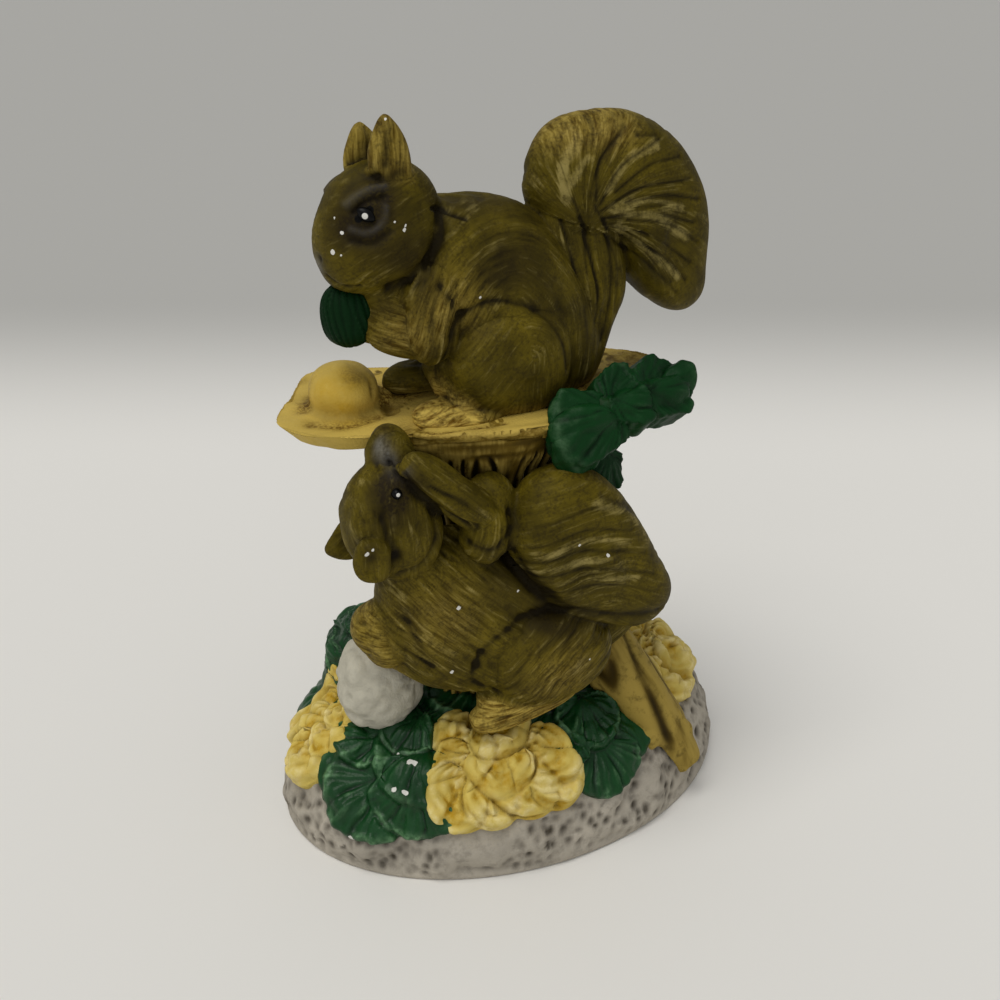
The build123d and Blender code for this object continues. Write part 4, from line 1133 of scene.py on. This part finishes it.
# Leaves on the ground: the stalk's place and the tip's, width as a share of length, and lift
IVY_LEAVES = {
    "ivy_front_left": (((-15.2, -12.4, 26.4), (-25.9, -14.9, 23.4), 0.95, 0),
        ((-18, -7, 27), (-25, -6, 25.6), 0.9, 0), ((-33, -16.6, 19.4), (-43.4, -6.2, 16.4), 1.15, 0.35),
        ((-33.1, -16.8, 19), (-44, -15.4, 9.4), 1, 0.2),
        ((-28.2, -21.2, 19), (-33.3, -25.3, 10.1), 1.2, 0.3),
        ((-27, -20, 20.6), (-24.8, -24.6, 17), 0.9, 0.3),
        ((-31.5, -10.7, 22.8), (-38.7, -3.8, 20.6), 0.85, 0.85),
        ((-24, -17.6, 22.9), (-34.3, -18.9, 17.4), 1.05, 1.1),
        ((-23, -11.2, 25.1), (-31.8, -12, 22.4), 1.05, 1),
        ((-9.8, -7, 27.7), (-20.8, -8.4, 26.2), 1.15, 0.7)),
    "ivy_front_right": (((5, -16.3, 26.3), (17.1, -20.2, 23.5), 0.8, 0),
        ((3.5, -18.6, 25.5), (-4.2, -24.4, 23), 1.2, 0.3),
        ((12, -21, 23.8), (18.8, -28.7, 16.6), 1.15, 0.3),
        ((8.2, -26.4, 21.2), (6.9, -33.4, 11.8), 1.1, 0.2), ((4.1, -25.4, 22.2), (-2, -28, 20.4), 0.9, 0.5),
        ((8, -19, 25.2), (7.4, -28, 20.2), 1.05, 1.05)),
    "ivy_knoll": (((-20, 10, 34), (-30, 19, 30), 1.2, 0.2), ((-22, 10.6, 34.6), (-33, 9.4, 27), 1.2, 0.5),
        ((-29, 14, 32), (-38, 16, 20), 1.2, 0.3), ((-31, 10.4, 27), (-40, 12, 18), 1.1, 0.6),
        ((-22, 20, 32), (-20, 29, 24), 1.2, 0.2), ((-28, 22, 28), (-34, 26, 16), 1.2, 0.4),
        ((-26, 26, 22), (-26, 32, 12), 1.2, 0.3), ((-35, 15, 24), (-43, 18, 11), 1.2, 0.2)),
    "ivy_back_right": (((22, 10, 25), (31, 16, 21), 1.2, 0.2), ((27, 14, 22), (33, 23, 13), 1.1, 0.6),
        ((31, 7, 22), (41, 10, 14), 1.1, 0.4), ((21, 16, 24), (23, 27, 14), 1.1, 0.3)),
    "ivy_back": (((-6, 21, 24), (-8, 31, 15), 1.2, 0.2), ((-9, 25, 21), (-15, 32, 12), 1, 0.7)),
}
YELLOW_LEAVES = {
    "yellow_leaves_front": (((-15, -17, 25.2), (-23.4, -19.3, 22.4), 1, 0.2),
        ((-17.3, -22.6, 22), (-26, -23.4, 18.6), 0.9, 0.3),
        ((-19, -24.4, 20.4), (-24.9, -29.3, 11.7), 1, 0.2),
        ((-14.6, -26.6, 19.8), (-17.8, -31.9, 11.6), 0.95, 0.3),
        ((-7.6, -26.6, 21.2), (-8.8, -33.4, 12.4), 0.95, 0.2),
        ((-5, -28, 20), (-0.4, -33.6, 13.4), 0.95, 0.3),
        ((-7.1, -24.6, 22.6), (2.2, -30.2, 18.4), 0.9, 0.5),
        ((-12.6, -22.6, 22.8), (-14.9, -29.9, 16.5), 1, 0.7),
        ((-12.6, -17, 25.4), (-7, -24.4, 23), 1.25, 0.8)),
    "yellow_leaves_left": (((-34.5, 7.6, 22.6), (-40, 14, 17.4), 1.1, 0.2),
        ((-36.7, 3.6, 21.8), (-45, 8, 13.6), 1.05, 0.4), ((-38, 1, 21), (-46.6, 2.4, 13), 1, 0.3),
        ((-41.5, 0, 19), (-47.6, -3.6, 11.2), 0.95, 0.2), ((-37, -1.6, 21.6), (-43.4, -4, 17), 1.05, 0.6),
        ((-34, 0.6, 23), (-39.4, -1.6, 20), 1, 0.8)),
    "yellow_leaves_right": (((28, -2, 24.8), (34, 5, 21.6), 1.2, 0.2),
        ((31, -4, 24), (41.4, -4.6, 16.6), 1.1, 0.5), ((28.6, -9.6, 23.8), (38.6, -14.6, 16.2), 1, 0.3),
        ((32, -6.4, 23.4), (41, -9.4, 15.6), 1, 0.7)),
    "yellow_leaves_back": (((6, 18, 25.6), (12, 26, 20.4), 1.1, 0.3),
        ((3, 22, 24), (0, 31, 15.6), 1.1, 0.5), ((7, 24, 22), (11, 32, 12), 1.1, 0.6),
        ((12, 23, 21.6), (18, 29, 13), 1, 0.4)),
}
# Leaves over the edge of the broken top, and which way each sprig faces
EDGE_LEAVES = {
    "stump_leaf_right": ((0.25, -0.68, 0.69), (((11.4, -18.4, 90), (22, -18.6, 89.6), 1.1, 0.3),
        ((19, -18, 90.6), (30.6, -14.6, 91.4), 1.1, 0.1))),
    "stump_leaf_front": ((-0.1, -0.8, 0.6), (((12.6, -20.6, 88.6), (-0.8, -22.8, 87), 1.1, 0.3),)),
    "stump_leaf_low": ((0.2, -0.97, 0.1), (((12.4, -17, 81), (11, -17.4, 72), 1, 0.2),)),
}
# Clay that makes the blades of a sprig run into one another
EDGE_PATS = {
    "stump_leaf_right": (((14.5, -19.8, 89.4), (6.4, 2.4, 3.8)), ((22, -18.6, 90.6), (7, 2.4, 3.4)),
        ((28.2, -15.8, 92), (4.2, 2.4, 3))),
    "stump_leaf_front": (((6, -21.4, 88.2), (7.2, 2.2, 4)), ((3.6, -23, 84.6), (5.4, 1.8, 4.2)),
        ((10.6, -20.8, 86), (4, 2, 4))),
    "stump_leaf_low": (((11, -17.4, 77), (4.4, 2, 5)),),
}
# Chips on the ivy, where the white clay shows
IVY_CHIPS = ((-28.2, -19.4, 22), (-29, -19, 22), (-32, -21.6, 18.6), (-32.8, -21, 18.2), (-31, -22.6, 18.4),
    (-41, -20, 8.8), (-42, -19.4, 8.8), (-30, -15.6, 22))
# A leaf's edge runs this many radians to each side of its tip
LEAF_SPAN = 2.09
# A leaf is laid on the ground by a ray that starts this far out of it and reaches this far, and its clay goes
# this deep into the ground, in millimetres
RAY_START, RAY_REACH, LEAF_ROOT = 9, 20, 1.6
# The fallen leaves lie this much higher than the ivy, in millimetres, and over its edges
YELLOW_MORE = 0.85
BLANK_SIDES, BLANK_RINGS = 56, 7


def leaf_edge(turn):
    """How far a leaf's edge lies from its stalk at each angle, as a share of the leaf's length."""
    return np.clip(np.cos(0.75 * turn), 0, 1) ** 0.75 * (0.97 + 0.05 * np.abs(np.cos(3.2 * turn)))


def ivy_form(reach, turn, size, seed):
    """Relief and marks of an ivy leaf: a fan of veins from its stalk, folds, and a lifted rim."""
    spot = np.stack([reach * size / 4.0, turn * 3.0, turn * 0], axis=1)
    sway = 0.25 * grain(spot, seed)
    veins = np.abs(np.cos(5.2 * turn + sway * 3))
    fine = np.cos(2 * np.pi * (turn * 4.6 + sway * 1.6)) * eased(reach, 0.15, 0.6)
    fold = np.cos(2.6 * turn + seed) * eased(reach, 0.2, 0.9)
    rim = np.exp(-((reach - 0.93) / 0.06) ** 2)
    bend = grain(spot * 0.7, seed + 3)
    rise = (0.4 * fold + 0.4 * bend + 0.5 * veins ** 0.6 * eased(reach, 0.1, 0.6) + 0.14 * fine + 0.5 * rim
            - 0.35)
    patch = eased(grain(spot * 1.4 + 3.3, seed + 5), -0.3, 0.4)
    # The high mark is painted highlight on the rim and the raised folds; the low mark is painted shade in the
    # veins' grooves, at the stalk and in the dips
    high = 0.9 * rim * patch + 0.5 * eased(fine + bend, 0.5, 1.2) * patch * eased(reach, 0.3, 0.6)
    low = eased(-veins, -0.35, 0.0) * 0.9 + np.exp(-(reach / 0.16) ** 2) + 0.4 * eased(-bend, 0.1, 0.6)
    return rise, high, low


def yellow_form(reach, turn, size, seed):
    """Relief and marks of a fallen leaf: three puckered lobes with a sunk vein along each."""
    lobe = np.abs(np.cos(1.9 * turn + 0.15 * seed))
    along = reach * size
    vein = np.exp(-(np.sin(1.9 * turn + 0.15 * seed) / 0.16) ** 2) * eased(reach, 0.15, 0.4)
    spot = np.stack([along / 2.2, turn * 2.4, turn * 0], axis=1)
    pucker = grain(spot, seed + 9)
    ribs = np.cos(along * 2.6 + 2.2 * np.abs(np.sin(1.9 * turn)) + seed)
    rise = (0.85 * lobe ** 0.5 * eased(reach, 0.0, 0.5) * eased(1.04 - reach, 0, 0.3) - 0.35 * vein
            + 0.45 * pucker + 0.17 * ribs * lobe - 0.35)
    # The high mark is painted highlight on the lobes and puckers; the low mark, partly painted shade, lies in
    # the middle, the veins and the dips
    high = eased(0.5 * lobe + 0.6 * pucker + 0.1 * ribs, 0.3, 0.8)
    low = (np.exp(-(reach / 0.4) ** 2) + 0.8 * vein + 0.8 * eased(-pucker, 0.0, 0.5)
           + 0.45 * eased(-ribs, 0.3, 0.9) * eased(reach, 0.1, 0.4))
    return rise, high, low


def leaf_blank():
    """A round blank of clay with a flat top, a rim and a floor, to shape leaves from: radius 1."""
    bpy.ops.object.select_all(action="DESELECT")
    bpy.ops.mesh.primitive_circle_add(vertices=BLANK_SIDES, radius=1 / BLANK_RINGS, fill_type="TRIFAN")
    blank = bpy.context.object
    bpy.ops.object.mode_set(mode="EDIT")
    bpy.ops.mesh.select_mode(type="EDGE")
    bpy.ops.mesh.select_all(action="DESELECT")
    bpy.ops.mesh.select_non_manifold()
    for ring in range(2, BLANK_RINGS + 1):
        bpy.ops.mesh.extrude_edges_move()
        grow = ring / (ring - 1)
        bpy.ops.transform.resize(value=(grow, grow, 1))
    bpy.ops.mesh.extrude_edges_move(TRANSFORM_OT_translate={"value": (0, 0, -1)})
    bpy.ops.mesh.extrude_edges_move()
    bpy.ops.transform.resize(value=(0.5, 0.5, 1))
    bpy.ops.mesh.extrude_edges_move()
    bpy.ops.mesh.merge(type="CENTER")
    bpy.ops.mesh.select_all(action="SELECT")
    bpy.ops.mesh.normals_make_consistent(inside=False)
    bpy.ops.object.mode_set(mode="OBJECT")
    return blank


def leaf_axes(stalk, tip, out):
    """A leaf's length, and the directions ahead, to its side and out of it."""
    ahead = np.array(tip, float) - stalk
    size = np.linalg.norm(ahead)
    ahead /= size
    out = np.array(out) - ahead * (np.array(out) @ ahead)
    out /= np.linalg.norm(out)
    return size, ahead, np.cross(out, ahead), out


def lay_leaf(blank, leaf, out, ground, thick):
    """A copy of the blank cut to a leaf's outline and laid on the ground."""
    stalk, tip, width, _ = leaf
    size, ahead, side, out = leaf_axes(stalk, tip, out)
    piece = blank.copy()
    piece.data = blank.data.copy()
    bpy.context.scene.collection.objects.link(piece)
    clay = Clay(piece)
    x, y, z = clay.at.T * MM
    reach = np.minimum(np.hypot(x, y), 1.0)
    turn = np.arctan2(y, x) * LEAF_SPAN / math.pi
    far = leaf_edge(turn)
    flat_x = 0.5 + reach * (far * np.cos(turn) - 0.5)
    flat_y = reach * far * np.sin(turn) * width
    flat = np.array(stalk) + size * (flat_x[:, None] * ahead + flat_y[:, None] * side)
    tall = np.where(z < -0.5, -LEAF_ROOT, thick * (1 - 0.45 * eased(reach, 0.75, 1.0)))
    for i, spot in enumerate(flat):
        hit = ground.ray_cast(Vector((spot + out * RAY_START) * MM), Vector(-out), RAY_REACH * MM)
        if hit[0] is None:
            hit = ground.find_nearest(Vector(spot * MM))
        clay.at[i] = np.array(hit[0]) / MM + out * tall[i]
    clay.settle()
    return piece


def emboss(clay, leaves, outs, form, swell):
    """Models the blades of a sprig on its clay, each over the ones before it, and marks them."""
    height, high, low = np.zeros((3, len(clay.at)))
    earth = np.ones(len(clay.at))
    for number, ((stalk, tip, width, lift), out) in enumerate(zip(leaves, outs)):
        size, ahead, side, out = leaf_axes(stalk, tip, out)
        off = clay.at - stalk
        u, v = off @ ahead / size, off @ side / (size * width)
        turn = np.arctan2(v, u)
        reach = np.hypot(u, v) / np.maximum(leaf_edge(turn), 0.04)
        inside = (1 - eased(reach, 0.97, 1.06)) * (np.abs(off @ out) < 0.7 * size)
        rise, blade_high, blade_low = form(reach, turn, size, number)
        height += inside * (lift + rise * swell / 0.5 - height)
        high += inside * (blade_high - high)
        low += inside * (blade_low - low)
        earth *= 1 - inside
    up = eased(clay.out @ np.mean(outs, axis=0), -0.2, 0.3)
    clay.push(height * up)
    # Painted highlight, only where the blades face up
    clay.mark("high", high * up)
    clay.mark("low", low)
    clay.mark("earth", earth * 0.85)
    clay.settle()


def make_sprig(name, node, blank, leaves, outs, ground, form, finish, chips, more):
    """Models one sprig of leaves and lets it stand for its casting."""
    sizes, _ = settings()
    thick = sizes.leaf_thick / MM + more
    piece = join(name, [lay_leaf(blank, leaf, out, ground, thick) for leaf, out in zip(leaves, outs)])
    fuse(piece, sizes.small_grain, 6)
    clay = Clay(piece)
    emboss(clay, leaves, outs, form, sizes.vein_rise / MM * (1 + more))
    clay.push(0.12 * grain(clay.at / 1.8, 77))
    chip(clay, chips, 1.25)
    clay.settle()
    hand_over(clay, 8, 3.0, finish, (node,))


class FIGURINE_OT_ground_leaves(bpy.types.Operator):
    """Models the ivy and the yellow leaves on the ground"""
    bl_idname = "figurine.ground_leaves"
    bl_label = "Leaves on the ground"

    def execute(self, context):
        _, paint = settings()
        blank = leaf_blank()
        ground = BVHTree.FromObject(bpy.data.objects["rock_mound"], context.evaluated_depsgraph_get())
        green = leaf_paint("painted_bisque_ivy", paint.leaf, paint.leaf_light, shade(paint.leaf, 0.35),
                           paint.dusk, 0.38, 0.25)
        gold = leaf_paint("painted_bisque_fallen_leaves", paint.yellow, paint.yellow_light,
                          paint.yellow_deep, paint.wood_stain, 0.6, 0.2)
        for table, form, finish, slot, chips, more in (
                (IVY_LEAVES, ivy_form, green, "green_bisque", IVY_CHIPS, 0.0),
                (YELLOW_LEAVES, yellow_form, gold, "yellow_bisque", (), YELLOW_MORE)):
            for node, leaves in table.items():
                outs = []
                for stalk, tip, _, _ in leaves:
                    middle = Vector(stalk).lerp(Vector(tip), 0.5)
                    outs.append(np.array(ground.find_nearest(middle * MM)[1] * 0.75 + Vector((0, 0, 0.25))))
                make_sprig(node + "_leaves", node, blank, leaves, outs, ground, form, finish,
                           chips, more)
        bpy.data.objects.remove(blank)
        return {"FINISHED"}


class FIGURINE_OT_edge_leaves(bpy.types.Operator):
    """Models the leaves that hang over the edge of the broken top"""
    bl_idname = "figurine.edge_leaves"
    bl_label = "Leaves on the stump"

    def execute(self, context):
        sizes, paint = settings()
        green = leaf_paint("painted_bisque_edge_leaves", shade(paint.leaf, 0.8), shade(paint.leaf_light, 0.5),
                           shade(paint.leaf, 0.3), paint.dusk, 0.5, 0.12)
        for node, (out, leaves) in EDGE_LEAVES.items():
            clay = cast(node + "_blades", (node,), sizes.small_grain, 14, EDGE_PATS[node])
            emboss(clay, leaves, [np.array(out)] * len(leaves), ivy_form, 0.8 * sizes.vein_rise / MM)
            clay.marks["earth"] *= 0.3
            clay.marks["high"] *= 0.45
            clay.push(0.15 * grain(clay.at / 1.6, 78))
            clay.settle()
            hand_over(clay, 8, 3.0, green, (node,))
        return {"FINISHED"}


# The photograph's camera: its place in millimetres, its turn and pitch in degrees, and its lens
CAMERA_PLACE = (-90.344, -191.652, 177.387)
CAMERA_TURN, CAMERA_PITCH = 25.0, 28.0
CAMERA_LENS, CAMERA_SENSOR = 43.2, 36.0
# Soft lamps: name, the way the light goes, strength, spread in degrees and tint
LAMPS = (("window", (0.35, 0.1, -0.95), 1.35, 35, "#fffdf8"),
         ("fill", (0.55, 0.75, -0.45), 0.35, 60, "#f6f8ff"))
ROOM_LIGHT, ROOM_STRENGTH = "#f4f5f6", 0.42


class FIGURINE_OT_stage(bpy.types.Operator):
    """Sets the pale board, the soft light and the camera"""
    bl_idname = "figurine.stage"
    bl_label = "Stage"

    def execute(self, context):
        _, paint = settings()
        scene = context.scene
        bpy.ops.object.select_all(action="DESELECT")
        bpy.ops.mesh.primitive_plane_add(size=12.0)
        board = context.object
        board.name = board.data.name = "pale_board"
        # A board with a matte coat of paint, which greys between 150 and 320 mm behind the figurine
        material, tree, where, (speck,) = new_paint("painted_board", 0.7, 0.15, "", ((3.0, 2.0, 0.5),))
        turn = math.radians(CAMERA_TURN)
        far = add(tree, "VectorMath", (where, (math.sin(turn), math.cos(turn), 0.0)),
                  operation="DOT_PRODUCT")
        share = add(tree, "MapRange", (far.outputs["Value"], 0.15, 0.32), interpolation_type="SMOOTHSTEP")
        board.data.materials.append(dress(material, paint.floor, ((share, paint.wall),), speck, 0.01))
        for name, aim, strength, spread, tint in LAMPS:
            lamp = bpy.data.lights.new(name, "SUN")
            lamp.energy = strength
            lamp.angle = math.radians(spread)
            lamp.color = linear(tint)
            holder = bpy.data.objects.new(name, lamp)
            scene.collection.objects.link(holder)
            holder.rotation_euler = Vector(aim).to_track_quat("-Z", "Y").to_euler()
        world = bpy.data.worlds.new("studio")
        scene.world = world
        world.use_nodes = True
        back = world.node_tree.nodes["Background"]
        back.inputs["Color"].default_value = (*linear(ROOM_LIGHT), 1.0)
        back.inputs["Strength"].default_value = ROOM_STRENGTH
        camera = bpy.data.cameras.new("camera")
        camera.lens = CAMERA_LENS
        camera.sensor_width = CAMERA_SENSOR
        camera.clip_start = 0.01
        holder = bpy.data.objects.new("camera", camera)
        scene.collection.objects.link(holder)
        holder.location = [c * MM for c in CAMERA_PLACE]
        holder.rotation_euler = (math.radians(90 - CAMERA_PITCH), 0.0, -turn)
        scene.camera = holder
        scene.view_settings.view_transform = "Standard"
        return {"FINISHED"}


class FIGURINE_PT_panel(bpy.types.Panel):
    """Lists the figurine's pieces, sizes and colours"""
    bl_label = "Figurine"
    bl_idname = "FIGURINE_PT_panel"
    bl_space_type = "VIEW_3D"
    bl_region_type = "UI"
    bl_category = "Figurine"

    def draw(self, context):
        for maker in MAKERS:
            self.layout.operator(maker.bl_idname)
        for group in (context.scene.figurine_sizes, context.scene.figurine_colours):
            for name in group.__annotations__:
                self.layout.prop(group, name)


MAKERS = (FIGURINE_OT_rock, FIGURINE_OT_stump, FIGURINE_OT_broken_top, FIGURINE_OT_stone,
          FIGURINE_OT_upper_squirrel, FIGURINE_OT_lower_squirrel, FIGURINE_OT_nut,
          FIGURINE_OT_ground_leaves, FIGURINE_OT_edge_leaves, FIGURINE_OT_stage)
CLASSES = (FigurineSizes, FigurineColours, *MAKERS, FIGURINE_PT_panel)


def register():
    """Registers the classes and gives the scene its settings."""
    for kind in CLASSES:
        bpy.utils.register_class(kind)
    bpy.types.Scene.figurine_sizes = PointerProperty(type=FigurineSizes)
    bpy.types.Scene.figurine_colours = PointerProperty(type=FigurineColours)


def unregister():
    """Takes away what register adds."""
    del bpy.types.Scene.figurine_colours
    del bpy.types.Scene.figurine_sizes
    for kind in reversed(CLASSES):
        bpy.utils.unregister_class(kind)


def main():
    """Builds the figurine and its stage."""
    register()
    bpy.ops.figurine.rock()
    bpy.ops.figurine.stump()
    bpy.ops.figurine.broken_top()
    bpy.ops.figurine.stone()
    bpy.ops.figurine.upper_squirrel()
    bpy.ops.figurine.lower_squirrel()
    bpy.ops.figurine.nut()
    bpy.ops.figurine.ground_leaves()
    bpy.ops.figurine.edge_leaves()
    bpy.ops.figurine.stage()
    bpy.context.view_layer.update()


if __name__ == "__main__":
    main()
